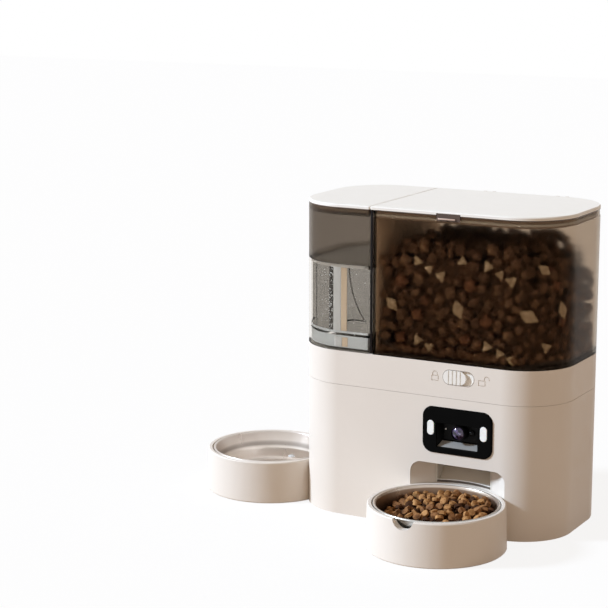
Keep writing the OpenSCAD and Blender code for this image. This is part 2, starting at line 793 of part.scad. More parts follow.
// White light windows that fill the panel's two pill openings
module lamp_windows() color(white) {
    for (s = [-1, 1]) translate([feed_x + s * lamp_spacing / 2, 0, lamp_z]) {
        front_plate(panel_face_y - 0.2, panel_t + 0.2) rotate(90) pill(lamp_h, lamp_w);
        front_plate(panel_face_y + panel_t, 2) rotate(90) pill(lamp_h + 3, lamp_w + 0.4);
    }
}

// Round loudspeaker behind the back grille
module speaker() color(black) {
    translate([speaker_x, back_y - wall, speaker_z]) rotate([90, 0, 0]) difference() {
        union() {
            cylinder(r = speaker_r, h = 3);
            translate([0, 0, 3]) cylinder(r1 = speaker_r - 2, r2 = 11, h = 6);
            translate([0, 0, 9]) cylinder(r = 11, h = 6);
        }
        translate([0, 0, -0.1]) cylinder(r1 = speaker_r - 3, r2 = 7, h = 6);
    }
}

// Barrel power socket with its centre pin
module dc_inlet() color(black) {
    translate([inlet_x, back_y - 14, inlet_z]) {
        difference() {
            union() {
                translate([-inlet_w / 2, 0, -inlet_w / 2]) cube([inlet_w, 14, inlet_w]);
                translate([-inlet_w / 2 - 2, 14 - wall - 1.5, -inlet_w / 2 - 2])
                    cube([inlet_w + 4, 1.5, inlet_w + 4]);
            }
            translate([0, 15, 0]) rotate([90, 0, 0]) cylinder(r = 3.2, h = 11);
        }
        rotate([-90, 0, 0]) translate([0, 0, 3]) cylinder(r = 1.05, h = 9);
    }
}

button_out = 1;
button_travel = 1.2;

module pairing_button() color(black) {
    translate([button_x, back_y + button_out, inlet_z]) rotate([90, 0, 0]) {
        cylinder(r = button_r, h = button_out + wall + 1);
        translate([0, 0, button_out + wall]) cylinder(r = button_r + 1.6, h = 1.4);
    }
}

lock_travel = slot_w - knob_w - 2 * fit;
tongue_w = 10;
tongue_up = 4;
tongue_end = floor_inset + 1;

// Ribbed knob in the slot, its backing plate and the tongue that reaches the hopper's foot
module lock_slider() color(cream) {
    x = feed_x - slot_w / 2 + fit + knob_w / 2;
    z = deck_z - slot_drop;
    translate([x, 0, z]) {
        difference() {
            front_plate(front_y - 0.8, wall + 1.3) pill(knob_w, slot_h - 2 * fit);
            for (i = [0 : 3]) translate([-knob_w / 2 + 5.6 + 4.4 * i, front_y - 2, -slot_h])
                cube([1.3, 2, 2 * slot_h]);
        }
        front_plate(front_y + wall, 1.5) translate([-knob_w / 2 - 7, -slot_h / 2 - 2])
            square([slot_w + 10, slot_h + 4]);
        translate([-tongue_w / 2, front_y + wall + 1, tongue_up])
            cube([tongue_w, tongue_end - wall - 1, 4]);
    }
}

// Pipe from the tank's valve down to the reservoir, with a cross bar and pin that lift the valve
module feed_pipe() color(white) {
    translate([valve_x, water_y, 0]) {
        difference() {
            union() {
                translate([0, 0, water_level]) cylinder(r = pipe_r, h = pipe_top - water_level);
                translate([0, 0, pipe_top - 3]) cylinder(r = pipe_r + 6, h = 3);
            }
            translate([0, 0, water_level - 1]) cylinder(r = pipe_r - 2, h = pipe_top - water_level + 2);
        }
        translate([-pipe_r + 1, -1.2, pipe_top - 24]) cube([2 * pipe_r - 2, 2.4, 4]);
        translate([0, 0, pipe_top - 24]) cylinder(r = 2.2, h = 9);
    }
}

module feed_reservoir() color(white) {
    translate([valve_x, water_y, plate_top]) difference() {
        cylinder(r = reservoir_r, h = water_level + 16);
        translate([0, 0, 2]) cylinder(r = reservoir_r - 2, h = water_level + 16);
        translate([-reservoir_r, 0, stub_z - plate_top]) rotate([0, 90, 0])
            cylinder(r = stub_r + 0.02, h = 6, center = true);
    }
}

stub_x0 = neck_x - 9;

// Short pipe from the reservoir through the recess wall into the tray's neck
module reservoir_outlet() color(white) {
    translate([stub_x0, water_y, stub_z]) rotate([0, 90, 0]) difference() {
        cylinder(r = stub_r, h = valve_x - reservoir_r + 1.8 - stub_x0);
        translate([0, 0, -1]) cylinder(r = stub_r - 1.2, h = 60);
    }
}

// Smoked hopper wall with a stepped rim and lugs for the lid's hinge
module hopper_shell() color(smoke, 0.6) {
    difference() {
        union() {
            translate([0, 0, shell_z]) linear_extrude(shell_top - rim_h - shell_z) hopper_outline(0);
            translate([0, 0, shell_z]) linear_extrude(shell_top - shell_z) hopper_outline(rim_step);
            for (x = hinge_spots) hinge_lug(x, knuckle_w);
        }
        translate([0, 0, shell_z - 1]) linear_extrude(flange_t + 1) hopper_outline(clear_wall);
        translate([0, 0, shell_z]) linear_extrude(flange_t + bead_h + 1)
            hopper_outline(clear_wall + bead_w);
        translate([0, 0, shell_z + flange_t + bead_h]) linear_extrude(shell_top - shell_z)
            hopper_outline(clear_wall);
        translate([latch_x - latch_w / 2 - run, front_y - 1, lid_z - latch_h + 1.8])
            cube([latch_w + 2 * run, clear_wall + 1.2, latch_h]);
        for (x = hinge_spots) translate([x - knuckle_w, hinge_y, hinge_z]) rotate([0, 90, 0])
            cylinder(r = hinge_r + 0.05, h = 2 * knuckle_w);
        for (x = hinge_spots) translate([x - knuckle_w / 2 + 4 - run, back_y - 0.3,
            hinge_z - knuckle_r - 1])
            cube([knuckle_w - 8 + 2 * run, 12, 2 * knuckle_r + 2]);
    }
}

// Lug on the hopper's back wall round the hinge line
module hinge_lug(x, w) {
    translate([x - w / 2, hinge_y, hinge_z]) rotate([0, 90, 0]) cylinder(r = knuckle_r, h = w);
    translate([x - w / 2, back_y - 1, hinge_z - 3 * knuckle_r])
        cube([w, 1 + 0.2 + knuckle_r, 3 * knuckle_r]);
}

// Funnel, seating flange and metering chamber under the hopper
module hopper_floor() color(black) {
    top_r = body_w;
    rise = (top_r - chamber_r) * tan(funnel_deg);
    cone = [[chamber_r, funnel_z], [top_r, funnel_z + rise], [top_r, funnel_z + rise - 3],
        [chamber_r + chamber_wall, funnel_z - 2]];
    difference() {
        union() {
            intersection() {
                translate([feed_x, rotor_y, 0]) rotate_extrude() polygon(cone);
                union() {
                    translate([0, 0, funnel_z - 4]) linear_extrude(deck_z - funnel_z + 4)
                        hopper_outline(floor_inset);
                    translate([0, 0, deck_z]) linear_extrude(flange_t) hopper_outline(clear_wall + fit);
                    translate([0, 0, deck_z + flange_t - 1]) linear_extrude(40)
                        hopper_outline(clear_wall + bead_w + fit);
                }
            }
            translate([0, 0, deck_z - 12]) linear_extrude(12 + flange_t) difference() {
                hopper_outline(floor_inset);
                hopper_outline(floor_inset + floor_skirt_t);
            }
            translate([0, 0, deck_z]) linear_extrude(flange_t) difference() {
                hopper_outline(clear_wall + fit);
                hopper_outline(floor_inset + floor_skirt_t);
            }
            translate([feed_x, rotor_y, 0]) rotate_extrude() polygon([[0, chamber_floor_z - floor_t],
                [chamber_r + chamber_wall, chamber_floor_z - floor_t],
                    [chamber_r + chamber_wall, funnel_z],
                [chamber_r, funnel_z], [chamber_r, chamber_floor_z], [0, chamber_floor_z]]);
        }
        translate([feed_x, rotor_y, 0]) cylinder(r = dog_r + 1, h = deck_z);
        intersection() {
            translate([feed_x, rotor_y, chamber_floor_z - floor_t - 1]) difference() {
                cylinder(r = chamber_r - 1.5, h = floor_t + 2);
                translate([0, 0, -1]) cylinder(r = 16, h = floor_t + 4);
            }
            translate([feed_x - chute_w / 2 + 2, rotor_y - chamber_r, chamber_floor_z - floor_t - 1])
                cube([chute_w - 4, chamber_r - 14, floor_t + 2]);
        }
        translate([feed_x - slot_w / 2 + fit + knob_w / 2 - tongue_w / 2 - 1,
            front_y + floor_inset - 1, deck_z - 30])
            cube([tongue_w + lock_travel + 2, 2.5, 26]);
    }
}

// Hub with soft vanes that meters the food, and a cone that sheds it
module feed_rotor() color("#d8d4cc") {
    z0 = chamber_floor_z + rotor_gap;
    vane_h = chamber_h - 6;
    translate([feed_x, rotor_y, z0]) difference() {
        union() {
            linear_extrude(vane_h) intersection() {
                circle(r = rotor_r);
                union() {
                    circle(r = hub_r);
                    for (i = [0 : vane_count - 1]) rotate(360 / vane_count * i + 90)
                        translate([hub_r / 2, -vane_t / 2]) square([rotor_r, vane_t]);
                }
            }
            translate([0, 0, -rotor_gap]) cylinder(r = hub_r - 2, h = rotor_gap + 2);
            translate([0, 0, vane_h - 1]) cylinder(r1 = hub_r - 0.6, r2 = 3, h = 11);
        }
        translate([0, 0, -rotor_gap - 1]) cylinder(r = dog_r + 0.15, h = dog_h + 1, $fn = 6);
    }
}

// Lid over the hopper with a sealing skirt, a notch for the latch and knuckles at the back
module hopper_lid() color(white) {
    difference() {
        union() {
            translate([0, 0, lid_z]) chamfered_slab(lid_seam_x + 0.4, right_x, body_d, edge_r - 1.5,
                corner_r, lid_t, 1);
            translate([0, 0, lid_z - skirt_drop]) linear_extrude(skirt_drop + 1) difference() {
                hopper_outline(skirt_inset);
                hopper_outline(skirt_inset + skirt_t);
            }
            for (x = hinge_spots) translate([x - knuckle_w / 2 + 4, 0, 0]) {
                translate([0, hinge_y, hinge_z]) rotate([0, 90, 0])
                    cylinder(r = knuckle_r - 0.3, h = knuckle_w - 8);
                translate([0, back_y - 1, hinge_z])
                    cube([knuckle_w - 8, hinge_y - back_y + 1, knuckle_r - 0.3]);
            }
        }
        translate([latch_x - latch_w / 2 - run, front_y - 1, lid_z - 1])
            cube([latch_w + 2 * run, clear_wall + 1.4, 3.2]);
        for (x = hinge_spots) translate([x - knuckle_w / 2, hinge_y, hinge_z]) rotate([0, 90, 0])
            cylinder(r = hinge_r + 0.05, h = knuckle_w);
        for (x = hinge_spots, s = [-1, 1]) translate([x + s * (knuckle_w / 2 - 2) - 2 - run,
            back_y - 0.3, lid_z - 1])
            cube([4 + 2 * run, 8, 1 + knuckle_r + 0.4]);
    }
}

// Silicone ring round the lid's skirt
module lid_gasket() color("#cfcac4") {
    translate([0, 0, lid_z - 6]) linear_extrude(2.4) difference() {
        hopper_outline(skirt_inset - 0.6);
        hopper_outline(skirt_inset);
    }
}

latch_travel = 1.2;

// Push tab in the lid's front notch
module lid_latch() color(smoke) {
    translate([latch_x - latch_w / 2, front_y + fit, lid_z + 2.2 - latch_h]) difference() {
        cube([latch_w, latch_t, latch_h]);
        translate([2, -0.5, 1]) cube([latch_w - 4, 0.9, 1.6]);
    }
}

module hinge_pin() color(steel) {
    for (x = hinge_spots) translate([x - knuckle_w / 2 - 1, hinge_y, hinge_z]) rotate([0, 90, 0])
        cylinder(r = hinge_r, h = knuckle_w + 2);
}

// Slotted round box for a drying agent, fixed under the lid
module desiccant_box() color(white) {
    translate([feed_x + 4, 0, lid_z - 13]) difference() {
        cylinder(r = 28, h = 13);
        translate([0, 0, 1.6]) cylinder(r = 26.4, h = 13);
        for (i = [-3 : 3]) translate([-16, i * 6 - 1.2, -1]) cube([32, 2.4, 4]);
    }
}

// Cover that caps the tank and lines up with the lid
module tank_cover() color(white) {
    translate([0, 0, lid_z]) chamfered_slab(left_x, lid_seam_x - 0.4, body_d, corner_r, edge_r - 1.5,
        lid_t, 1);
    translate([0, 0, lid_z - 4]) linear_extrude(5) difference() {
        tank_outline(clear_wall + 0.6);
        tank_outline(clear_wall + 2.4);
    }
}

// Smoked upper half of the tank, with a roof and a lip that enters the lower half
module tank_upper() color(smoke, 0.6) {
    difference() {
        union() {
            translate([0, 0, tank_split_z]) linear_extrude(lid_z - tank_split_z) tank_outline(0);
            translate([0, 0, tank_split_z - 4]) linear_extrude(6) tank_outline(clear_wall + fit);
        }
        translate([0, 0, tank_split_z - 5]) linear_extrude(9) tank_outline(clear_wall + fit + 1.6);
        translate([0, 0, tank_split_z + 2]) linear_extrude(lid_z - tank_split_z - 9.4)
            tank_outline(clear_wall);
        translate([0, 0, lid_z - 5]) linear_extrude(6) tank_outline(clear_wall);
    }
}

// Clear lower half of the tank, whose raised floor leaves room for the cap under it
module tank_lower() color(clear_grey, 0.4) {
    difference() {
        translate([0, 0, shell_z]) linear_extrude(tank_clear_h) tank_outline(0);
        translate([0, 0, tank_floor_z + clear_wall]) linear_extrude(tank_clear_h)
            tank_outline(clear_wall);
        difference() {
            translate([0, 0, shell_z - 1]) linear_extrude(tank_floor_z - shell_z + 1)
                tank_outline(clear_wall);
            translate([valve_x, water_y, cap_z + 3]) cylinder(r = neck_r, h = tank_floor_h);
        }
        translate([valve_x, water_y, shell_z]) cylinder(r = neck_r - 2.4, h = tank_clear_h);
    }
}

// Cap on the tank's neck, with the nozzle that plugs into the feed pipe
module tank_cap() color(white) {
    translate([valve_x, water_y, 0]) difference() {
        union() {
            translate([0, 0, cap_z]) cylinder(r = cap_r, h = tank_floor_z - cap_z - 1);
            translate([0, 0, cap_z - nozzle_l]) cylinder(r = nozzle_r, h = nozzle_l + 1);
        }
        translate([0, 0, cap_z + 3]) cylinder(r = neck_r + fit, h = tank_floor_h);
        translate([0, 0, cap_z - nozzle_l + 2]) cylinder(r = nozzle_r - 1.8, h = nozzle_l + 10);
        translate([0, 0, cap_z - nozzle_l - 1]) cylinder(r = 4.2, h = nozzle_l);
        translate([0, 0, cap_z - nozzle_l + 4]) rotate_extrude() translate([nozzle_r, 0])
            square([1.6, 2.2], center = true);
        for (i = [0 : 23]) rotate(15 * i) translate([cap_r + 0.4, 0, cap_z - 1])
            cylinder(r = 1, h = tank_floor_h + 4);
    }
}

// Soft ring in the nozzle's groove
module nozzle_seal() color(rubber) {
    translate([valve_x, water_y, cap_z - nozzle_l + 4]) rotate_extrude()
        translate([nozzle_r - 0.7 + 0.95 / 2, 0]) square([0.95, 1.9], center = true);
}

// Valve stem and disc, held off its seat by the feed pipe's pin
module valve_plunger() color(white) {
    lift = 3;
    seat_z = cap_z - nozzle_l + 2;
    pin_top = pipe_top - 15;
    translate([valve_x, water_y, 0]) {
        translate([0, 0, pin_top]) cylinder(r = 2.4, h = seat_z + lift - pin_top + 1);
        translate([0, 0, seat_z + lift]) cylinder(r = 6.4, h = 2);
        translate([0, 0, seat_z + lift]) cylinder(r = 2, h = 14);
    }
}

// Tray outline turned about its axis: foot ring, drafted wall, rim and a ledge for the bowl
module tray_body() {
    rotate_extrude() polygon([
        [0, 1.5], [tray_r - 12, 1.5], [tray_r - 12, 0], [tray_r - 1.2, 0], [tray_r, 1.2],
        [tray_top_r, tray_h - 1.2], [tray_top_r - 1.2, tray_h], [seat_r + 0.5, tray_h],
            [seat_r, tray_h - 0.5],
        [seat_r, ledge_z], [seat_r - ledge_w, ledge_z], [seat_r - ledge_w, ledge_z - 2],
        [tray_top_r - tray_wall, ledge_z - 6], [tray_r - tray_wall, 6], [tray_r - tray_wall - 2, 4],
            [0, 4]]);
}

notch_r = 12;
notch_up = 2.2;
notch_turn = -3.5;

// Thickened wall that gives the finger notch its broad sill, clear of the bowl's side
module notch_pad() {
    pad_r = seat_r - ledge_w;
    pad_z = tray_h + notch_up - notch_r - 3;
    rotate(notch_turn) intersection() {
        translate([-notch_r - 1, -tray_r, pad_z]) cube([2 * notch_r + 2, tray_r, ledge_z - 2 - pad_z]);
        difference() {
            translate([0, 0, pad_z]) cylinder(r = tray_top_r - 1, h = ledge_z - pad_z);
            translate([0, 0, pad_z - 1]) cylinder(r = pad_r, h = ledge_z);
        }
    }
}

// Food tray with a finger notch in front, so that the bowl can be lifted
module food_tray() color(cream) {
    translate([feed_x, food_y, 0]) difference() {
        union() {
            tray_body();
            notch_pad();
        }
        rotate(notch_turn) translate([0, -tray_r - 1, tray_h + notch_up]) rotate([-90, 0, 0])
            cylinder(r = notch_r, h = tray_rim + tray_draft + 5);
    }
}

// Water tray with a docking neck that takes the reservoir's outlet
module water_tray() color(cream) {
    translate([water_x, water_y, 0]) difference() {
        union() {
            tray_body();
            difference() {
                translate([tray_r - 14, -neck_w / 2, 0])
                    cube([neck_x - water_x - tray_r + 14, neck_w, neck_h]);
                translate([0, 0, -1]) cylinder(r = tray_r - tray_wall - 0.4, h = 2 * neck_h);
            }
        }
        translate([tray_r - 12, 0, stub_z]) rotate([0, 90, 0]) cylinder(r = stub_r + run, h = 60);
    }
}

// Profile of a bowl from its axis out to the rim, with a rounded turn at the floor
function bowl_line(floor_r, z0, rim_r, z1, turn, n = 8) = concat([[0, z0]],
    [for (i = [0 : n]) let (a = 90 * i / n * 0.86) [floor_r + turn * sin(a),
        z0 + turn * (1 - cos(a))]], [[rim_r, z1]]);

// Steel bowl with a rolled lip
module steel_bowl() {
    lip_z = ledge_z + lip_r + 0.05;
    rotate_extrude() {
        difference() {
            polygon(concat(bowl_line(bowl_floor_r, bowl_z, bowl_r - 1.6, lip_z, 10), [[0, lip_z]]));
            polygon(concat(bowl_line(bowl_floor_r, bowl_z + steel_t, bowl_r - 1.6 - steel_t,
                lip_z + 0.01, 10 - steel_t),
                [[0, lip_z + 0.01]]));
        }
        translate([bowl_r - 0.8, lip_z]) circle(lip_r, $fn = 32);
    }
}

module food_bowl() color(steel) {
    translate([feed_x, food_y, 0]) steel_bowl();
}

inlet_hole_r = 4;
inlet_hole_out = 28;

// Water bowl, with a hole in its floor that the water rises through
module water_bowl() color(steel) {
    translate([water_x, water_y, 0]) difference() {
        steel_bowl();
        translate([inlet_hole_out, 0, 0]) cylinder(r = inlet_hole_r, h = bowl_z + 4);
    }
}

// White grommet and riser under the water bowl's hole
module water_inlet() color(white) {
    translate([water_x + inlet_hole_out, water_y, 4]) difference() {
        union() {
            cylinder(r = 7, h = bowl_z - 4 - 0.05);
            cylinder(r = inlet_hole_r - 0.2, h = bowl_z - 4 + steel_t + 0.6);
        }
        translate([0, 0, -1]) cylinder(r = inlet_hole_r - 1.4, h = 20);
    }
}

// Soft ring where the reservoir's outlet enters the tray's neck
module dock_seal() color(rubber) {
    translate([neck_x + 0.2, water_y, stub_z]) rotate([0, 90, 0]) difference() {
        cylinder(r = stub_r + 3, h = 0.8);
        translate([0, 0, -1]) cylinder(r = stub_r + 0.1, h = 3);
    }
}

base_housing();
base_plate();
base_screws();
rubber_feet();
battery_box();
battery_contacts();
battery_door();
top_deck();
food_chute();
motor_bracket();
shaft_bush();
gear_motor();
drive_gear();
motor_pinion();
main_board();
board_posts();
camera_panel();
camera_housing();
lens_barrel();
camera_lens();
motion_sensor();
lamp_windows();
speaker();
dc_inlet();
pairing_button();
lock_slider();
feed_pipe();
feed_reservoir();
reservoir_outlet();
hopper_shell();
hopper_floor();
feed_rotor();
hopper_lid();
lid_gasket();
lid_latch();
hinge_pin();
desiccant_box();
tank_cover();
tank_upper();
tank_lower();
tank_cap();
nozzle_seal();
valve_plunger();
food_tray();
food_bowl();
water_tray();
water_bowl();
water_inlet();
dock_seal();
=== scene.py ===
"""Pet feeder: cream base with a camera, smoked food hopper, water tank and two steel bowls."""

import json
import math
import random

import bpy
from mathutils import Euler, Matrix, Vector

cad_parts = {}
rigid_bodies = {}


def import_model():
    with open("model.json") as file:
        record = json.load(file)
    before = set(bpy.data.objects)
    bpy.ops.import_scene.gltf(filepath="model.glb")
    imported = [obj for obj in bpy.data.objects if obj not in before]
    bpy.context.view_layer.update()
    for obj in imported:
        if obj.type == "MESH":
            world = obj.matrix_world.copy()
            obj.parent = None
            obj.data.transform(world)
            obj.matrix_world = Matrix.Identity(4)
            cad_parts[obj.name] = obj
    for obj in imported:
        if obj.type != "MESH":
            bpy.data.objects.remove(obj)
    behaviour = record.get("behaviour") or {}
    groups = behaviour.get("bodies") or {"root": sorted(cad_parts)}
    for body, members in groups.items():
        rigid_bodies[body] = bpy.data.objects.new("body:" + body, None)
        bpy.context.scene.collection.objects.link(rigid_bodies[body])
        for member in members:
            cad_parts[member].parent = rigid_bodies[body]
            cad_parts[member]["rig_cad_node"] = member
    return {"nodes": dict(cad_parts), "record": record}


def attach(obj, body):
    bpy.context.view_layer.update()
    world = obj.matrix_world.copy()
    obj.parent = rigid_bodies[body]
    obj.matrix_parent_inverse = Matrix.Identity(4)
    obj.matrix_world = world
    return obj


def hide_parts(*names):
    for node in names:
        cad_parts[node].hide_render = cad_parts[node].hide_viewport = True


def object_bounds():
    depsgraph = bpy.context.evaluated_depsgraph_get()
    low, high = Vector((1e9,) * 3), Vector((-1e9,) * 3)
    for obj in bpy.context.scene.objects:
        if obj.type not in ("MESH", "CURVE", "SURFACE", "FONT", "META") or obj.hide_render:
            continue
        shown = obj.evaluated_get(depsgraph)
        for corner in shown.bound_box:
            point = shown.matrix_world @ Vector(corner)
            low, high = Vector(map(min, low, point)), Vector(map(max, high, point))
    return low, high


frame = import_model()
cad_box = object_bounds()
nodes = frame["nodes"]
bodies = frame["record"]["behaviour"]["bodies"]
body_of_node = {node: body for body, members in bodies.items() for node in members}

# One millimetre, a hair for comparing places, the angle of a sharp edge and the axes of the two bowls
MM = 0.001
HAIR = 1e-6
SHARP = math.radians(38)
FOOD_BOWL = Vector((0.0465, -0.131, 0))
WATER_BOWL = Vector((-0.206, -0.026, 0))


# Selecting and editing, as by hand
def only(piece):
    bpy.ops.object.select_all(action="DESELECT")
    piece.select_set(True)
    bpy.context.view_layer.objects.active = piece


def edit(piece, mode="FACE"):
    only(piece)
    bpy.ops.object.mode_set(mode="EDIT")
    bpy.ops.mesh.select_mode(type=mode)
    bpy.ops.mesh.select_all(action="DESELECT")


def edit_all(piece, mode="FACE"):
    edit(piece, mode)
    bpy.ops.mesh.select_all(action="SELECT")


def leave_edit():
    bpy.ops.object.mode_set(mode="OBJECT")


def pick_faces(piece, test):
    """Selects the faces whose centre and normal pass the test, in edit mode."""
    bpy.ops.mesh.select_all(action="DESELECT")
    leave_edit()
    for face in piece.data.polygons:
        face.select = test(face.center, face.normal)
    bpy.ops.object.mode_set(mode="EDIT")


def pick_edges(piece, test):
    """Selects the edges whose two ends pass the test, in edit mode."""
    bpy.ops.mesh.select_all(action="DESELECT")
    leave_edit()
    points = piece.data.vertices
    for line in piece.data.edges:
        line.select = test(*(points[i].co for i in line.vertices))
    bpy.ops.object.mode_set(mode="EDIT")


def upright(a, b):
    return abs(a.x - b.x) + abs(a.y - b.y) < HAIR


def faces_up(centre, normal):
    return normal.z > 0.9


def put_down():
    """Puts the active piece's place, turn and size into its mesh."""
    bpy.ops.object.transform_apply(location=True, rotation=True, scale=True)


def active(name):
    piece = bpy.context.view_layer.objects.active
    piece.name = name
    piece.data.name = name
    return piece


def fit_out(piece, body, finish):
    """Gives a piece its finish and the body that it moves with."""
    piece.data.materials.clear()
    piece.data.materials.append(finish)
    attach(piece, body)
    return piece


def finished(piece, angle, body, finish):
    """Closes a modelled mesh, turns its faces outwards, smooths what is round and fits it out."""
    only(piece)
    put_down()
    edit_all(piece, "VERT")
    bpy.ops.mesh.remove_doubles(threshold=HAIR)
    bpy.ops.mesh.normals_make_consistent(inside=False)
    leave_edit()
    bpy.ops.object.shade_smooth_by_angle(angle=math.radians(angle))
    fit_out(piece, body, finish)


def softened(node, finish, edge, steps=2):
    """A merged copy of a part in its place, with sharp edges rounded unless the edge is 0."""
    only(nodes[node])
    bpy.ops.object.duplicate()
    piece = active(node + "_finished")
    del piece["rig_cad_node"]
    bpy.ops.mesh.customdata_custom_splitnormals_clear()
    edit_all(piece, "VERT")
    bpy.ops.mesh.remove_doubles(threshold=2 * HAIR)
    if edge:
        bpy.ops.mesh.dissolve_limited(angle_limit=math.radians(0.4))
    leave_edit()
    if edge:
        rounding = piece.modifiers.new("rounding", "BEVEL")
        rounding.width = edge * MM
        rounding.segments = steps
        rounding.limit_method = "ANGLE"
        rounding.angle_limit = SHARP
        rounding.miter_outer = "MITER_ARC"
        bpy.ops.object.modifier_apply(modifier="rounding")
    bpy.ops.object.shade_smooth_by_angle(angle=SHARP)
    if edge:
        evening = piece.modifiers.new("evening", "WEIGHTED_NORMAL")
        evening.keep_sharp = True
        evening.weight = 90
        bpy.ops.object.modifier_apply(modifier="evening")
    fit_out(piece, body_of_node[node], finish)
    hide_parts(node)
    return piece


# Primitives at their size and place, as the start of a piece
def block(name, low, high):
    """A box between two corners in millimetres."""
    bpy.ops.object.select_all(action="DESELECT")
    bpy.ops.mesh.primitive_cube_add(size=1, location=[(a + b) / 2 * MM for a, b in zip(low, high)])
    piece = active(name)
    piece.scale = [(b - a) * MM for a, b in zip(low, high)]
    put_down()
    return piece


def strip(name, centre, width, length, turn=(0, 0, 0)):
    """A flat rectangle, in millimetres."""
    bpy.ops.object.select_all(action="DESELECT")
    bpy.ops.mesh.primitive_plane_add(size=1, location=[c * MM for c in centre], rotation=turn)
    piece = active(name)
    piece.scale = (width * MM, length * MM, 1)
    put_down()
    return piece


def drum(name, sides, radius, depth, centre=(0, 0, 0)):
    """An upright cylinder, in metres."""
    bpy.ops.object.select_all(action="DESELECT")
    bpy.ops.mesh.primitive_cylinder_add(vertices=sides, radius=radius, depth=depth, location=centre)
    piece = active(name)
    put_down()
    return piece


def ball(name, detail, radius, centre=(0, 0, 0)):
    """A ball of triangles, in metres."""
    bpy.ops.object.select_all(action="DESELECT")
    bpy.ops.mesh.primitive_ico_sphere_add(subdivisions=detail, radius=radius, location=centre)
    return active(name)


def end_rounded(name, low, high, left, right=0, steps=8):
    """A box with the plan of the tank, widely rounded at the left and less at the right, in edit mode."""
    piece = block(name, low, high)
    middle = (low[0] + high[0]) / 2 * MM
    edit(piece, "EDGE")
    pick_edges(piece, lambda a, b: upright(a, b) and a.x < middle)
    bpy.ops.mesh.bevel(offset=left * MM, segments=22)
    if right:
        pick_edges(piece, lambda a, b: upright(a, b) and a.x > high[0] * MM - HAIR)
        bpy.ops.mesh.bevel(offset=right * MM, segments=steps)
    bpy.ops.mesh.select_mode(type="FACE")
    return piece


def bar(name, low, high, edge, body, finish):
    """A small moulded bar between two corners in millimetres, with rounded edges."""
    piece = block(name, low, high)
    edit_all(piece, "EDGE")
    bpy.ops.mesh.bevel(offset=edge * MM, segments=2)
    leave_edit()
    finished(piece, 40, body, finish)


def plan_ring(name, low, high, left, right, wall, body, finish, back=200):
    """An upright band with the plan of the tank, in millimetres, left open behind the place back."""
    band = end_rounded(name, low, high, left, right)
    pick_faces(band, lambda centre, normal: abs(normal.z) > 0.9 or centre.y > back * MM)
    bpy.ops.mesh.delete(type="FACE")
    leave_edit()
    thick = band.modifiers.new("thick", "SOLIDIFY")
    thick.thickness = wall * MM
    thick.offset = -1
    bpy.ops.object.modifier_apply(modifier="thick")
    finished(band, 40, body, finish)


def flat_ball(name, detail, radius, centre, squeeze, body, finish):
    """A small ball pressed flatter about its centre, in millimetres."""
    middle = Vector(centre) * MM
    piece = ball(name, detail, radius * MM, middle)
    edit_all(piece, "VERT")
    bpy.ops.transform.resize(value=squeeze, center_override=middle)
    leave_edit()
    finished(piece, 60, body, finish)


# Finishes
def linear(r, g, b):
    """The light of a screen colour given from 0 to 255."""
    return tuple((c / 255 / 12.92) if c <= 10 else ((c / 255 + 0.055) / 1.055) ** 2.4 for c in (r, g, b))


def new_finish(name, colour, roughness, **sockets):
    finish = bpy.data.materials.new(name)
    finish.use_nodes = True
    shader = finish.node_tree.nodes["Principled BSDF"]
    shader.inputs["Base Color"].default_value = (*colour, 1)
    shader.inputs["Roughness"].default_value = roughness
    for socket, value in sockets.items():
        shader.inputs[socket.replace("_", " ")].default_value = value
    return finish


def place(finish, centre=(0, 0, 0), stretch=(1, 1, 1)):
    """Object coordinates in metres, moved to a centre and stretched."""
    tree = finish.node_tree
    where = tree.nodes.new("ShaderNodeTexCoord")
    move = tree.nodes.new("ShaderNodeMapping")
    move.inputs["Location"].default_value = [-c * s for c, s in zip(centre, stretch)]
    move.inputs["Scale"].default_value = stretch
    tree.links.new(where.outputs["Object"], move.inputs["Vector"])
    return move.outputs["Vector"]


def noise(finish, scale, detail, harsh=0.5, centre=(0, 0, 0), stretch=(1, 1, 1)):
    tree = finish.node_tree
    cloud = tree.nodes.new("ShaderNodeTexNoise")
    cloud.inputs["Scale"].default_value = scale
    cloud.inputs["Detail"].default_value = detail
    cloud.inputs["Roughness"].default_value = harsh
    tree.links.new(place(finish, centre, stretch), cloud.inputs["Vector"])
    return cloud.outputs["Fac"]


def spread(finish, value, low, high, start=0.3, end=0.7):
    tree = finish.node_tree
    fit = tree.nodes.new("ShaderNodeMapRange")
    fit.inputs["From Min"].default_value = start
    fit.inputs["From Max"].default_value = end
    fit.inputs["To Min"].default_value = low
    fit.inputs["To Max"].default_value = high
    tree.links.new(value, fit.inputs["Value"])
    return fit.outputs["Result"]


def tint(finish, value, *stops):
    """Base colour from a ramp of (place, colour) stops."""
    tree = finish.node_tree
    ramp = tree.nodes.new("ShaderNodeValToRGB")
    band = ramp.color_ramp
    band.elements[0].position, band.elements[0].color = stops[0][0], (*stops[0][1], 1)
    band.elements[1].position, band.elements[1].color = stops[-1][0], (*stops[-1][1], 1)
    for spot, colour in stops[1:-1]:
        band.elements.new(spot).color = (*colour, 1)
    tree.links.new(value, ramp.inputs["Fac"])
    tree.links.new(ramp.outputs["Color"], tree.nodes["Principled BSDF"].inputs["Base Color"])


def rough(finish, value, low, high):
    tree = finish.node_tree
    tree.links.new(spread(finish, value, low, high), tree.nodes["Principled BSDF"].inputs["Roughness"])


def emboss(finish, value, strength, depth):
    tree = finish.node_tree
    bump = tree.nodes.new("ShaderNodeBump")
    bump.inputs["Strength"].default_value = strength
    bump.inputs["Distance"].default_value = depth
    tree.links.new(value, bump.inputs["Height"])
    tree.links.new(bump.outputs["Normal"], tree.nodes["Principled BSDF"].inputs["Normal"])


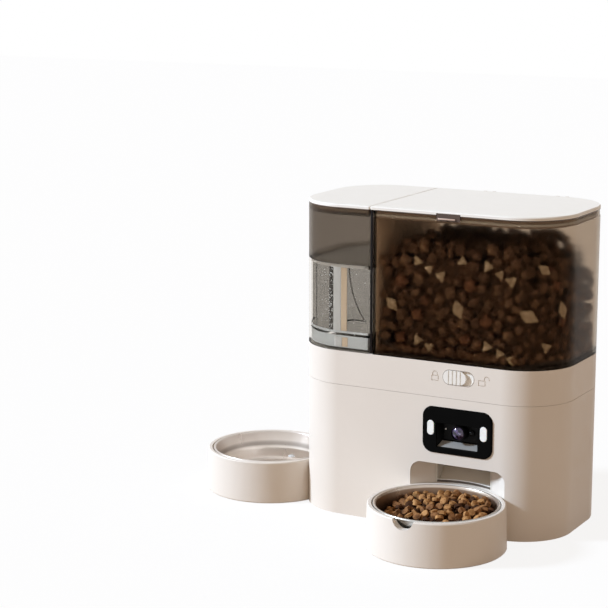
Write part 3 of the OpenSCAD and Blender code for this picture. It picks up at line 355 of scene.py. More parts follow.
def height(finish, low, high):
    """Height above the ground, from 0 at the low level to 1 at the high one."""
    tree = finish.node_tree
    split = tree.nodes.new("ShaderNodeSeparateXYZ")
    tree.links.new(place(finish), split.inputs["Vector"])
    return spread(finish, split.outputs["Z"], 0, 1, low, high)


def moulded_plastic(name, colour, darker, roughness, grain=0.06, **sockets):
    """Satin moulded plastic: faint cloudiness, a fine spark-eroded grain and uneven gloss."""
    finish = new_finish(name, colour, roughness, **sockets)
    tint(finish, noise(finish, 9, 2), (0.3, darker), (0.7, colour))
    rough(finish, noise(finish, 60, 4), roughness - 0.05, roughness + 0.06)
    emboss(finish, noise(finish, 1500, 2), grain, 0.0002)
    return finish


cream = moulded_plastic("cream_satin", linear(232, 225, 216), linear(229, 221, 211), 0.48)
cream_inner = moulded_plastic("cream_plain_inside", linear(222, 214, 204), linear(216, 207, 196), 0.55)
white = moulded_plastic("white_satin", linear(243, 241, 236), linear(240, 238, 232), 0.42)
ivory = moulded_plastic("ivory_working_plastic", linear(226, 221, 211), linear(218, 212, 201), 0.5)
black = moulded_plastic("black_matt_plastic", linear(24, 24, 24), linear(17, 17, 17), 0.5, 0.12,
                        Specular_IOR_Level=0.25)
cup_black = moulded_plastic("black_cup", linear(13, 13, 13), linear(9, 9, 9), 0.45, 0.1,
                            Specular_IOR_Level=0.12)
rubber = moulded_plastic("grey_rubber", linear(58, 57, 55), linear(48, 47, 45), 0.8, 0.3)
silicone = moulded_plastic("milky_silicone", linear(206, 204, 198), linear(196, 193, 186), 0.6, 0.1)
floor_black = moulded_plastic("dark_floor_plastic", linear(58, 48, 41), linear(48, 40, 34), 0.5, 0.1,
                              Specular_IOR_Level=0.25)


def capped_white(name, skirt, seal):
    """White lid plastic over a beige inner skirt, with a painted shadow line where the two meet."""
    top = linear(242, 240, 234)
    finish = new_finish(name, top, 0.42)
    tint(finish, height(finish, 0.328, 0.330), (0.505, skirt), (0.53, seal), (0.78, seal), (0.84, top))
    rough(finish, noise(finish, 60, 4), 0.37, 0.48)
    emboss(finish, noise(finish, 1500, 2), 0.06, 0.0002)
    return finish


def gloss_black():
    finish = new_finish("black_gloss_panel", linear(6, 6, 6), 0.12, Specular_IOR_Level=0.035)
    tint(finish, noise(finish, 30, 3), (0.3, linear(4, 4, 4)), (0.7, linear(8, 8, 8)))
    rough(finish, noise(finish, 90, 4), 0.08, 0.18)
    return finish


def lamp_white():
    finish = new_finish("milky_lamp_window", linear(244, 243, 240), 0.3, Subsurface_Weight=0.1,
                        Emission_Color=(1, 0.98, 0.95, 1), Emission_Strength=0.12)
    tint(finish, noise(finish, 120, 2), (0.3, linear(236, 235, 231)), (0.7, linear(247, 246, 244)))
    rough(finish, noise(finish, 200, 3), 0.22, 0.36)
    return finish


def lens_painted_reflections():
    finish = new_finish("coated_lens_painted_reflections", linear(22, 14, 44), 0.04, Coat_Weight=0.5, Coat_Roughness=0.04,
                        Coat_Tint=(0.8, 0.8, 1.0, 1))
    # Mottled violet, blue, pink and pale tones: painted reflections of the coating
    tint(finish, noise(finish, 250, 3), (0.36, linear(10, 8, 18)), (0.46, linear(44, 36, 62)),
         (0.54, linear(108, 86, 122)), (0.6, linear(36, 46, 78)), (0.68, linear(160, 156, 182)))
    rough(finish, noise(finish, 300, 2), 0.03, 0.07)
    return finish


def sensor_black():
    finish = new_finish("dark_sensor_window", linear(9, 8, 9), 0.12, Specular_IOR_Level=0.15)
    tint(finish, noise(finish, 300, 2), (0.3, linear(6, 5, 6)), (0.7, linear(14, 12, 13)))
    rough(finish, noise(finish, 200, 3), 0.08, 0.2)
    return finish


def spun_steel(name, centre, *shade_and_reflection_bands):
    """Stainless steel turned on a lathe: fine rings, soft gloss, and painted shade and reflections as a tone
    that changes with height.
    """
    finish = new_finish(name, shade_and_reflection_bands[-1][1], 0.3, Metallic=0.86, Anisotropic=0.35)
    tree = finish.node_tree
    ring = tree.nodes.new("ShaderNodeTexWave")
    ring.wave_type = "RINGS"
    ring.rings_direction = "Z"
    ring.inputs["Scale"].default_value = 420
    ring.inputs["Distortion"].default_value = 0.3
    ring.inputs["Detail"].default_value = 2
    tree.links.new(place(finish, centre), ring.inputs["Vector"])
    tint(finish, height(finish, 0.008, 0.048), *shade_and_reflection_bands)
    rough(finish, noise(finish, 90, 4, 0.6, centre, (1, 1, 0.1)), 0.26, 0.36)
    emboss(finish, ring.outputs["Fac"], 0.03, 0.0001)
    return finish


def drawn_metal(name, light, dark, roughness):
    finish = new_finish(name, light, roughness, Metallic=1.0)
    tint(finish, noise(finish, 40, 3), (0.3, dark), (0.7, light))
    rough(finish, noise(finish, 300, 4), roughness - 0.07, roughness + 0.1)
    emboss(finish, noise(finish, 900, 2, stretch=(1, 1, 0.1)), 0.06, 0.0002)
    return finish


def smoked_plastic(name, colour, deep, haze, ior):
    """Brown-grey see-through plastic with a soft haze and a cloudy tone."""
    finish = new_finish(name, colour, haze, Transmission_Weight=1.0, IOR=ior)
    tint(finish, noise(finish, 7, 2), (0.3, deep), (0.7, colour))
    return finish


def clear_plastic():
    colour = (0.9, 0.88, 0.85)
    finish = new_finish("clear_tank_plastic", colour, 0.02, Transmission_Weight=1.0, IOR=1.01)
    tint(finish, noise(finish, 12, 2), (0.3, (0.86, 0.84, 0.81)), (0.7, colour))
    rough(finish, noise(finish, 40, 3), 0.005, 0.03)
    emboss(finish, noise(finish, 30, 2), 0.04, 0.0006)
    return finish


def water_finish(name, colour, ripple, ior):
    finish = new_finish(name, colour, 0.0, Transmission_Weight=1.0, IOR=ior)
    tint(finish, noise(finish, 10, 2), (0.3, tuple(0.97 * c for c in colour)), (0.7, colour))
    emboss(finish, noise(finish, 45, 2), ripple, 0.002)
    return finish


def circuit_green():
    finish = new_finish("circuit_board", linear(36, 96, 60), 0.35)
    tint(finish, noise(finish, 220, 4), (0.42, linear(24, 78, 46)), (0.58, linear(50, 116, 72)))
    rough(finish, noise(finish, 500, 3), 0.3, 0.5)
    emboss(finish, noise(finish, 400, 3), 0.1, 0.0002)
    return finish


def kibble_finish(name, light, mid, dark, roughness=0.72):
    """Baked crumb: mottled brown with darker pits and a dry, lumpy skin."""
    finish = new_finish(name, mid, roughness, Specular_IOR_Level=0.12)
    tint(finish, noise(finish, 190, 5, 0.62), (0.3, dark), (0.5, mid), (0.72, light))
    rough(finish, noise(finish, 260, 3), roughness - 0.1, roughness + 0.12)
    emboss(finish, noise(finish, 620, 5, 0.65), 0.55, 0.0007)
    return finish


panel_gloss = gloss_black()
lamp_milk = lamp_white()
lens_glass = lens_painted_reflections()
sensor_glass = sensor_black()
# Food bowl steel: darker towards the bottom as painted shade and reflection, lightest at the rim
bowl_steel = spun_steel("spun_steel_food_bowl", FOOD_BOWL, (0.5, linear(84, 64, 50)),
                        (0.86, linear(134, 109, 89)), (0.9, linear(214, 201, 188)))
# Water bowl steel: a darker floor as painted shade and a dark band just above the water as a painted
# reflection
dish_steel = spun_steel("spun_steel_water_bowl", WATER_BOWL,
                        (0.0, linear(192, 180, 170)), (0.12, linear(224, 212, 202)),
                        (0.5, linear(240, 231, 222)), (0.54, linear(222, 212, 203)),
                        (0.58, linear(168, 159, 151)), (0.64, linear(174, 164, 156)),
                        (0.71, linear(216, 206, 197)), (0.9, linear(204, 193, 184)),
                        (1.0, linear(214, 208, 202)))
plain_steel = drawn_metal("plain_steel", linear(196, 194, 190), linear(176, 173, 168), 0.32)
brass = drawn_metal("brass", linear(206, 172, 104), linear(182, 146, 82), 0.34)
board_green = circuit_green()
smoke = smoked_plastic("smoked_hopper", (0.61, 0.525, 0.44), (0.57, 0.485, 0.40), 0.3, 1.07)
tank_smoke = smoked_plastic("smoked_tank", (0.40, 0.36, 0.32), (0.365, 0.325, 0.285), 0.3, 1.07)
clear = clear_plastic()
tank_water = water_finish("tank_water", (0.33, 0.316, 0.297), 0.03, 1.015)
dish_water = water_finish("dish_water", (0.97, 0.96, 0.95), 0.04, 1.06)

# Strips in the tank: the dark, milky and beige tones are painted reflections; the dark finish also serves a
# thin dark rib
dark_rib_and_reflection = moulded_plastic("dark_tank_rib_and_reflection", linear(78, 73, 68), linear(58, 54, 50), 0.4, 0.3, Alpha=0.72)
reflection_milky = moulded_plastic("milky_reflection_stripe", linear(214, 213, 211), linear(206, 205, 203), 0.35, 0.05,
                            Alpha=0.88)
reflection_beige = moulded_plastic("beige_reflection_stripe", linear(220, 197, 170), linear(212, 187, 158), 0.4, 0.05,
                            Alpha=0.88)
rib_faint = moulded_plastic("faint_tank_line", linear(120, 112, 104), linear(110, 102, 94), 0.4, 0.05,
                            Alpha=0.6)
floor_gleam = drawn_metal("gleam_under_water", linear(244, 244, 243), linear(238, 238, 236), 0.1)
# Pale foot lining and pale lines in the tank: painted light and painted highlights
foot_painted_light = moulded_plastic("clear_tank_foot", linear(216, 219, 219), linear(196, 198, 197), 0.35, 0.05,
                             Alpha=0.8)
water_line_highlight = moulded_plastic("pale_water_line_highlight", linear(190, 183, 175), linear(180, 173, 165), 0.35, 0.05)
frost_pale = moulded_plastic("frosted_lining", linear(226, 222, 215), linear(216, 212, 204), 0.6, 0.1)
# Near-black strip for the gap beside the hopper: painted shade
gap_painted_shade = moulded_plastic("dark_gap_painted_shade", linear(22, 16, 13), linear(16, 12, 10), 0.6, 0.05,
                           Specular_IOR_Level=0.1)
# Pale beige film for the hopper's left wall
wall_film = moulded_plastic("dusty_wall_film", linear(232, 208, 183), linear(222, 197, 171), 0.6, 0.05)
# Shine of the tank's air bubbles, also used for a painted glint on the bowl's water
bubble_shine = moulded_plastic("air_bubble_and_glint", linear(236, 237, 236), linear(222, 223, 222), 0.12, 0.05,
                               Alpha=0.7)
# Lid and tank cover: the dark band under each white top is a painted shadow line
lid_white = capped_white("white_lid_beige_skirt", linear(150, 132, 119), linear(58, 44, 36))
cover_white = capped_white("white_cover_pale_skirt", linear(226, 206, 190), linear(112, 96, 86))
latch_brown = moulded_plastic("latch_smoke_brown", linear(84, 66, 56), linear(74, 57, 48), 0.3)
# Pale strip on the latch: painted highlight
latch_highlight = moulded_plastic("latch_painted_highlight", linear(206, 184, 170), linear(196, 172, 158), 0.4)
# Grey line round the lock's slot: painted shade
slot_shade_grey = moulded_plastic("painted_slot_shade", linear(160, 150, 140), linear(150, 140, 130), 0.6)
# Grey of the window's sill: painted light
sill_painted_light = moulded_plastic("grey_sill_painted_light", linear(150, 150, 148), linear(138, 138, 136), 0.35)
# Dark strip under the outlet's lip: painted shadow
seam_painted_shadow = moulded_plastic("dark_painted_shadow_strip", linear(92, 82, 74), linear(82, 72, 64), 0.6)

# Kibble in the bowl and in the hopper: lighter, middle and darker tone
kibble_gold = kibble_finish("kibble_gold", linear(208, 160, 106), linear(166, 120, 74), linear(94, 61, 35))
kibble_tan = kibble_finish("kibble_tan", linear(166, 120, 78), linear(132, 91, 56), linear(80, 51, 29))
kibble_brown = kibble_finish("kibble_brown", linear(92, 58, 34), linear(66, 40, 23), linear(38, 23, 13))
kibble_bed_shadow = kibble_finish("kibble_shadow_bed", linear(44, 28, 16), linear(32, 20, 11), linear(18, 11, 6))
chunk_dark = kibble_finish("chunk_dark", linear(132, 102, 78), linear(100, 74, 55), linear(62, 45, 33))
chunk_mid = kibble_finish("chunk_mid", linear(140, 110, 84), linear(110, 84, 63), linear(72, 53, 39))
chunk_red = kibble_finish("chunk_red_brown", linear(140, 100, 73), linear(116, 79, 56), linear(82, 54, 37))
chunk_pale = kibble_finish("chunk_pale", linear(202, 184, 158), linear(184, 164, 137),
                           linear(150, 129, 102), 0.6)
chunk_bed_shadow = kibble_finish("chunk_shadow_bed", linear(104, 78, 57), linear(82, 59, 42), linear(56, 40, 29))


# Camera in front, above and to the right of the feeder
camera_data = bpy.data.cameras.new("view_camera")
camera_data.sensor_width = 36
camera_data.sensor_fit = "HORIZONTAL"
camera_data.lens = 109.88
camera_data.clip_start = 0.05
camera_data.clip_end = 50
camera = bpy.data.objects.new("view_camera", camera_data)
bpy.context.scene.collection.objects.link(camera)
camera.location = (0.80036, -1.76167, 0.60256)
look = Vector((-0.17856, 0, 0.20496)) - camera.location
camera.rotation_euler = look.to_track_quat("-Z", "Y").to_euler()
bpy.context.scene.camera = camera
bpy.context.scene.view_settings.view_transform = "Standard"


def seen_directly(tree):
    """1 for what the camera sees, also by way of metal or glass, and 0 for light that falls on things."""
    path = tree.nodes.new("ShaderNodeLightPath")
    seen = path.outputs["Is Camera Ray"]
    for ray in ("Is Glossy Ray", "Is Transmission Ray"):
        either = tree.nodes.new("ShaderNodeMath")
        either.operation = "MAXIMUM"
        tree.links.new(seen, either.inputs[0])
        tree.links.new(path.outputs[ray], either.inputs[1])
        seen = either.outputs[0]
    return seen


def mixed(tree, share, first, second):
    """A mix of two shaders, by a number or by a node's value."""
    mix = tree.nodes.new("ShaderNodeMixShader")
    if isinstance(share, float):
        mix.inputs["Fac"].default_value = share
    else:
        tree.links.new(share, mix.inputs["Fac"])
    tree.links.new(first.outputs[0], mix.inputs[1])
    tree.links.new(second.outputs[0], mix.inputs[2])
    return mix


# White surround that lights the shaded sides softly and warmly
world = bpy.data.worlds.new("pale_studio")
bpy.context.scene.world = world
world.use_nodes = True
sky = world.node_tree
sky.nodes.clear()
sky_fill = sky.nodes.new("ShaderNodeBackground")
sky_fill.inputs["Color"].default_value = (1.0, 0.78, 0.6, 1)
sky_fill.inputs["Strength"].default_value = 0.44
sky_white = sky.nodes.new("ShaderNodeBackground")
sky_white.inputs["Color"].default_value = (1, 1, 1, 1)
sky_white.inputs["Strength"].default_value = 1
sky_out = sky.nodes.new("ShaderNodeOutputWorld")
sky_mix = mixed(sky, seen_directly(sky), sky_fill, sky_white)
sky.links.new(sky_mix.outputs[0], sky_out.inputs["Surface"])

# Key light from the left, a little above and in front
sun = bpy.data.lights.new("key_light", "SUN")
sun.energy = 4.3
sun.color = (0.71, 0.84, 1.0)
sun.angle = math.radians(9)
key = bpy.data.objects.new("key_light", sun)
bpy.context.scene.collection.objects.link(key)
key_side, key_up = math.radians(58.5), math.radians(28.5)
key_from = Vector((-math.sin(key_side), -math.cos(key_side), math.tan(key_up)))
key.rotation_euler = key_from.to_track_quat("Z", "Y").to_euler()

# Pale floor that keeps a soft shadow
bpy.ops.object.select_all(action="DESELECT")
bpy.ops.mesh.primitive_plane_add(size=12, location=(0, 0, cad_box[0].z))
floor = active("pale_floor")
edit_all(floor)
bpy.ops.mesh.subdivide(number_cuts=3)
leave_edit()
floor_paint = new_finish("pale_floor_paint", (0.48, 0.35, 0.24), 0.9)
floor_tree = floor_paint.node_tree
floor_white = floor_tree.nodes.new("ShaderNodeBsdfDiffuse")
floor_white.inputs["Color"].default_value = (1, 1, 1, 1)
floor_glow = floor_tree.nodes.new("ShaderNodeEmission")
floor_glow.inputs["Color"].default_value = (1, 1, 1, 1)
floor_glow.inputs["Strength"].default_value = 1
floor_pale = mixed(floor_tree, 0.86, floor_white, floor_glow)
floor_mix = mixed(floor_tree, seen_directly(floor_tree), floor_tree.nodes["Principled BSDF"], floor_pale)
floor_tree.links.new(floor_mix.outputs[0], floor_tree.nodes["Material Output"].inputs["Surface"])
floor.data.materials.append(floor_paint)


# Parts that show, as merged copies, most with their edges rounded
softened("base_housing", cream, 0.5)
softened("top_deck", cream, 0.3)
softened("food_tray", cream, 0.5)
softened("water_tray", cream, 0.5)
softened("lock_slider", white, 0.25)
softened("hopper_lid", lid_white, 0.3)
softened("tank_cover", cover_white, 0.3)
softened("hopper_shell", smoke, 0.25)
softened("tank_upper", tank_smoke, 0.25)
softened("tank_lower", clear, 0.25)
softened("lid_latch", latch_brown, 0.2)
softened("camera_panel", panel_gloss, 0.5, steps=3)
softened("camera_housing", cup_black, 0.2)
softened("lens_barrel", cup_black, 0.2)
softened("camera_lens", lens_glass, 0)
softened("motion_sensor", sensor_glass, 0.2)
softened("lamp_windows", lamp_milk, 0.6, steps=3)
food_dish = softened("food_bowl", bowl_steel, 0)
softened("water_bowl", dish_steel, 0)
softened("pairing_button", black, 0.3)
softened("battery_door", cream_inner, 0.3)
softened("desiccant_box", white, 0.3)
softened("rubber_feet", rubber, 0.4)

# Plain steel on the food bowl's outside and underside
food_dish.data.materials.append(plain_steel)
for face in food_dish.data.polygons:
    outward = (face.center - FOOD_BOWL).to_2d()
    if face.normal.to_2d().dot(outward) > 0.4 * outward.length or face.normal.z < -0.5:
        face.material_index = 1

# Working parts inside and below keep their form and get their finishes
inside = {
    cream_inner: ["base_plate"],
    black: ["battery_box", "motor_bracket", "board_posts", "speaker", "dc_inlet"],
    plain_steel: ["base_screws", "battery_contacts", "gear_motor", "hinge_pin"],
    brass: ["shaft_bush", "motor_pinion"],
    ivory: ["food_chute", "drive_gear", "feed_pipe", "feed_reservoir", "reservoir_outlet", "tank_cap",
            "valve_plunger", "water_inlet"],
    board_green: ["main_board"],
    floor_black: ["hopper_floor"],
    silicone: ["feed_rotor", "lid_gasket"],
    rubber: ["nozzle_seal", "dock_seal"],
}
for finish, names in inside.items():
    for name in names:
        nodes[name].data.materials.clear()
        nodes[name].data.materials.append(finish)


# Kibble shapes, modelled once
def rounded_kibble(name, sides, tall, crown):
    """A baked pellet: a short drum whose ends are inset and crowned."""
    pellet = drum(name, sides, 1, tall)
    for way in (1, -1):
        edit(pellet)
        pick_faces(pellet, lambda centre, normal: normal.z * way > 0.9)
        bpy.ops.mesh.inset(thickness=0.32)
        bpy.ops.transform.translate(value=(0, 0, way * crown * 0.7))
        bpy.ops.mesh.inset(thickness=0.36)
        bpy.ops.transform.translate(value=(0, 0, way * crown * 0.3))
        leave_edit()
    edit_all(pellet, "VERT")
    bpy.ops.transform.vertex_random(offset=0.06, seed=sides)
    leave_edit()
    bpy.ops.object.shade_smooth_by_angle(angle=math.radians(42))
    return pellet


def lumpy_chunk(name, seed):
    """A broken chunk: a cube subdivided once, drawn toward a ball and knocked about."""
    bpy.ops.object.select_all(action="DESELECT")
    bpy.ops.mesh.primitive_cube_add(size=1.35)
    chunk = active(name)
    edit_all(chunk, "VERT")
    bpy.ops.mesh.subdivide(number_cuts=1)
    bpy.ops.transform.tosphere(value=0.3)
    bpy.ops.transform.vertex_random(offset=0.28, seed=seed)
    leave_edit()
    bpy.ops.object.shade_smooth()
    return chunk


def wafer(name, corners, thickness):
    """A flat cut chip with three or four corners and rounded edges."""
    chip = drum(name, corners, 1, thickness)
    edit_all(chip, "EDGE")
    bpy.ops.mesh.bevel(offset=0.13, segments=1)
    bpy.ops.transform.vertex_random(offset=0.05, seed=corners)
    leave_edit()
    return chip


def scatter(name, shape, spots, body, finish):
    """Copies of a shape, each with its own mesh, joined into one piece."""
    copies = []
    for spot, turn, size in spots:
        piece = shape.copy()
        piece.data = shape.data.copy()
        grow = Matrix.Diagonal((*size, 1))
        piece.data.transform(Matrix.Translation(spot) @ turn.to_4x4() @ grow)
        bpy.context.scene.collection.objects.link(piece)
        copies.append(piece)
    bpy.ops.object.select_all(action="DESELECT")
    for piece in copies:
        piece.select_set(True)
    bpy.context.view_layer.objects.active = copies[0]
    bpy.ops.object.join()
    return fit_out(active(name), body, finish)


# Inside of the hopper in millimetres: the centre of its rounded right corners, and the room that food takes
CORNER_X, CORNER_Y = 93, 25.5
FOOD_LEFT, FOOD_RIGHT, FOOD_SIDE = -47.5, 145.2, 77.6
FOOD_ROUND, FOOD_FLOOR = 52.1, 181.3


def pressed(heap):
    """Flattens food where it lies against the hopper's inner wall and floor."""
    for point in heap.data.vertices:
        x, y, z = point.co / MM
        x = min(max(x, FOOD_LEFT), FOOD_RIGHT)
        y = min(max(y, -FOOD_SIDE), FOOD_SIDE)
        if x > CORNER_X and abs(y) > CORNER_Y:
            out = Vector((x - CORNER_X, abs(y) - CORNER_Y))
            out *= min(1, FOOD_ROUND / out.length)
            x, y = CORNER_X + out.x, math.copysign(CORNER_Y + out.y, y)
        point.co = Vector((x, y, max(z, FOOD_FLOOR))) * MM


def far_enough(spot, others, gap):
    return all((spot - other).length > gap for other in others)


# Drawn turns and sizes, all from one seed
dice = random.Random(41)
ROUND = 6.28


def tumbled():
    return Euler([dice.uniform(0, ROUND) for _ in range(3)]).to_matrix()


def lump(length, wide, thick):
    """Size of a kibble in metres, from its length in millimetres and drawn shares of it."""
    return Vector((length, length * dice.uniform(*wide), length * dice.uniform(*thick))) * MM


pellets = [rounded_kibble("pellet_a", 9, 0.95, 0.22), rounded_kibble("pellet_b", 8, 1.15, 0.18)]
chunks = [lumpy_chunk("chunk_a", 3), lumpy_chunk("chunk_b", 8), lumpy_chunk("chunk_c", 15)]
chips = [wafer("chip_square", 4, 0.5), wafer("chip_corner", 3, 0.6)]

# Heap of kibble in the food bowl, in millimetres: highest in the middle, lowest at the left
heap_top, heap_turn = 47.4, math.radians(29)
crest_right, crest_back = 8, 6


def heap_height(x, y):
    """Height of the heap at a place measured from the bowl's axis."""
    along = x * math.cos(heap_turn) + y * math.sin(heap_turn) - crest_right
    away = y * math.cos(heap_turn) - x * math.sin(heap_turn) - crest_back
    side = (0.0040 if along < 0 else 0.0021) * along ** 2
    depth = (0.0013 if away < 0 else 0.0033) * away ** 2
    return heap_top - side - depth + 1.1 * math.sin(0.16 * x + 1) * math.sin(0.19 * y)


# Three layers: depth in the heap, reach, tries, lean, and shares of the three tones. The tones are the
# kibble's own, but the top layer is mostly light gold and the deeper layers mostly dark brown, as painted
# light and painted shade
tones = {"gold": [], "tan": [], "brown": []}
for drop, reach, tries, lean, shares in (
        (2.2, 56.0, 4200, 0.6, [6, 4, 2]),
        (6.0, 55.0, 2600, 0.9, [1, 2, 8]),
        (9.8, 53.5, 1200, 0.9, [1, 2, 8])):
    laid = []
    for _ in range(tries):
        r = reach * math.sqrt(dice.random())
        a = dice.uniform(0, 2 * math.pi)
        spot = Vector((r * math.cos(a), r * math.sin(a), 0))
        spot.z = heap_height(spot.x, spot.y) - drop + dice.uniform(-1.1, 1.1)
        bowl_wall = 50.5 + 0.3 * (spot.z - 22)
        if r < bowl_wall and far_enough(spot, laid, 8.7):
            laid.append(spot)
    for spot in laid:
        turn = Euler((dice.gauss(0, lean), dice.gauss(0, lean), dice.uniform(0, ROUND)))
        size = lump(dice.uniform(3.9, 4.7), (0.82, 1.0), (0.62, 0.85))
        tone = dice.choices(list(tones), shares)[0]
        tones[tone].append((FOOD_BOWL + spot * MM, turn.to_matrix(), size))
scatter("food_kibble_gold", pellets[0], tones["gold"], "food_bowl", kibble_gold)
scatter("food_kibble_tan", pellets[1], tones["tan"], "food_bowl", kibble_tan)
scatter("food_kibble_brown", pellets[0], tones["brown"], "food_bowl", kibble_brown)

# Dark bed under the heap, its colour a painted shadow, so that no steel shows between the kibbles
bed = drum("food_kibble_bed", 64, 52 * MM, 6 * MM, FOOD_BOWL + Vector((0, 0, 18 * MM)))
edit(bed)
pick_faces(bed, faces_up)
for inward in (8, 10, 10, 10):
    bpy.ops.mesh.inset(thickness=inward * MM)
leave_edit()
bed_top, bed_depth = 20 * MM, 8
for point in bed.data.vertices:
    if point.co.z > bed_top:
        away = (point.co - FOOD_BOWL) / MM
        point.co.z = (heap_height(away.x, away.y) - bed_depth) * MM
finished(bed, 60, "food_bowl", kibble_bed_shadow)


# Kibble in the hopper: a bed of painted shadow with chunks against the walls and on top
def kibble_top(x, y):
    """Height of the food's upper face: level in the middle, falling toward the right end."""
    slope = max(0.0, x - 86) / 54
    dip = max(0.0, -28 - x) / 20
    hill = 291 + 3 * math.sin(x * 0.07 + 1.1) + 2.5 * math.sin(y * 0.09 + x * 0.03)
    return hill - 42 * slope ** 1.4 - 9 * dip


def inner_plan(inset):
    """Left end, right end, half depth and corner radius of the hopper's inner wall, moved inward."""
    return -50.1 + inset, 147.6 - inset, 80.1 - inset, 54.6 - inset


def wall_line(d, inset):
    """A point at distance d along the hopper's inner wall, moved inward, and the way the wall faces."""
    x0, x1, half, r = inner_plan(inset)
    front, arc, side = x1 - r - x0, r * math.pi / 2, 2 * (half - r)
    if d < front:
        return Vector((x0 + d, -half, 0)), 0.0
    d -= front
    if d < arc:
        a = d / r
        return Vector((x1 - r + r * math.sin(a), -half + r - r * math.cos(a), 0)), a
    d -= arc
    if d < side:
        return Vector((x1, -half + r + d, 0)), math.pi / 2
    d -= side
    if d < arc:
        a = d / r
        return Vector((x1 - r + r * math.cos(a), half - r + r * math.sin(a), 0)), math.pi / 2 + a
    d -= arc
    if d < front:
        return Vector((x1 - r - d, half, 0)), math.pi
    return Vector((x0, half - d + front, 0)), -math.pi / 2


def wall_length(inset):
    x0, x1, half, r = inner_plan(inset)
    return 2 * (x1 - r - x0) + r * math.pi + 2 * (half - r) + 2 * half


def facing(heading, spin, lean):
    """Turns a chip flat against the wall, spun in its own plane and leaning a little."""
    stood = Matrix.Rotation(math.pi / 2 + lean, 3, "X")
    return Matrix.Rotation(heading, 3, "Z") @ stood @ Matrix.Rotation(spin, 3, "Z")


piles = {"dark_a": [], "dark_b": [], "red": [], "pale_square": [], "pale_corner": []}

# Pale chips and red-brown pieces that lie against the front: along, height, half width, shape, spin
for along, high, s, kind, spin in (
        (40, 279, 6.8, "pale_corner", 0.4), (53, 272, 5.8, "pale_corner", 1.2),
        (66, 266, 7.2, "pale_corner", 3.4), (90, 283, 6.2, "pale_corner", 2.2),
        (118, 280, 7.0, "pale_corner", 0.5), (131, 273, 6.0, "pale_corner", 1.5),
        (143, 267, 7.4, "pale_corner", 3.3), (86, 233, 8.6, "pale_square", 0.35),
        (161, 232, 9.2, "pale_square", 1.1), (200, 236, 8.2, "pale_square", 0.2),
        (41, 197, 6.8, "pale_corner", 0.5), (54, 191, 6.0, "pale_corner", 1.1),
        (118, 198, 7.0, "pale_corner", 0.5), (132, 192, 6.4, "pale_corner", 2.6),
        (145, 187, 7.2, "pale_corner", 3.5), (11, 232, 7.8, "pale_square", 0.8),
        (176, 279, 6.4, "pale_square", 0.9), (180, 200, 6.8, "pale_corner", 2.9),
        (96, 258, 8.4, "red", 0.2), (114, 223, 8.0, "red", 0.7), (37, 223, 7.8, "red", 0.1),
        (19, 256, 8.4, "red", 1.0), (91, 202, 7.0, "red", 0.6)):
    spot, heading = wall_line(along, 5.8 if kind.startswith("pale") else 8.4)
    spot.z = high
    size = Vector((s, s, 0.8 * s))
    if kind == "pale_square":
        size = Vector((0.8 * s, 1.25 * s, 0.7 * s))
    piles[kind].append((spot * MM, facing(heading, spin, dice.gauss(0, 0.12)), size * MM))
front_row = [spot / MM for pile in piles.values() for spot, turn, size in pile]

# Chunks against the wall in two layers, the outer one between the pieces above and smaller at the right end
chunk_kinds, chunk_shares = ["dark_a", "dark_b", "red"], [62, 36, 2]
right_end, right_inset = 96, 6.4
for inset, gap, tries, laid in ((8.4, 11.0, 6200, front_row), (15.0, 12.5, 3400, [])):
    kept = len(laid)
    for _ in range(tries):
        deep = inset + dice.uniform(-0.8, 2.6)
        spot, heading = wall_line(dice.random() * wall_length(deep), deep)
        if spot.x > right_end and laid is front_row:
            spot, heading = wall_line(dice.random() * wall_length(right_inset), right_inset)
        spot.z = dice.uniform(181, kibble_top(spot.x, spot.y))
        if far_enough(spot, laid, gap):
            laid.append(spot)
    for spot in laid[kept:]:
        turn = tumbled()
        kind = dice.choices(chunk_kinds, chunk_shares)[0]
        length = dice.uniform(6.2, 8.2) if spot.x < right_end else dice.uniform(5.6, 6.6)
        piles[kind].append((spot * MM, turn, lump(length, (0.6, 1.0), (0.5, 0.9))))

# A row along the foot of the wall
foot_inset, foot_step = 7.6, 9.5
for step in range(int(wall_length(foot_inset) / foot_step)):
    spot, heading = wall_line(foot_step * step + dice.uniform(0, 3), foot_inset)
    spot.z = 184.5 + dice.uniform(-0.8, 1.6)
    turn = tumbled()
    size = lump(dice.uniform(5.6, 6.6), (0.8, 1.0), (0.7, 0.9))
    if spot.x > -38:
        piles[dice.choice(["dark_a", "dark_a", "dark_b"])].append((spot * MM, turn, size))

# A loose layer on top, kept inside the rounded corners
laid = []
for _ in range(5200):
    spot = Vector((dice.uniform(-41, 138), dice.uniform(-71, 71), 0))
    beyond = Vector((spot.x - CORNER_X, max(0, abs(spot.y) - CORNER_Y)))
    if beyond.x > 0 and beyond.length > 46:
        continue
    spot.z = kibble_top(spot.x, spot.y) + dice.uniform(-5.0, 5.0)
    if far_enough(spot, laid, 11.5):
        laid.append(spot)
for spot in laid:
    turn = tumbled()
    kind = dice.choices(chunk_kinds, chunk_shares)[0]
    piles[kind].append((spot * MM, turn, lump(dice.uniform(6.0, 8.6), (0.75, 1.0), (0.6, 0.9))))
pressed(scatter("hopper_chunks_dark", chunks[0], piles["dark_a"], "hopper", chunk_dark))
pressed(scatter("hopper_chunks_brown", chunks[1], piles["dark_b"], "hopper", chunk_mid))
pressed(scatter("hopper_chunks_red", chunks[2], piles["red"], "hopper", chunk_red))
pressed(scatter("hopper_chips_square", chips[0], piles["pale_square"], "hopper", chunk_pale))
pressed(scatter("hopper_chips_corner", chips[1], piles["pale_corner"], "hopper", chunk_pale))
for shape in pellets + chunks + chips:
    bpy.data.objects.remove(shape)

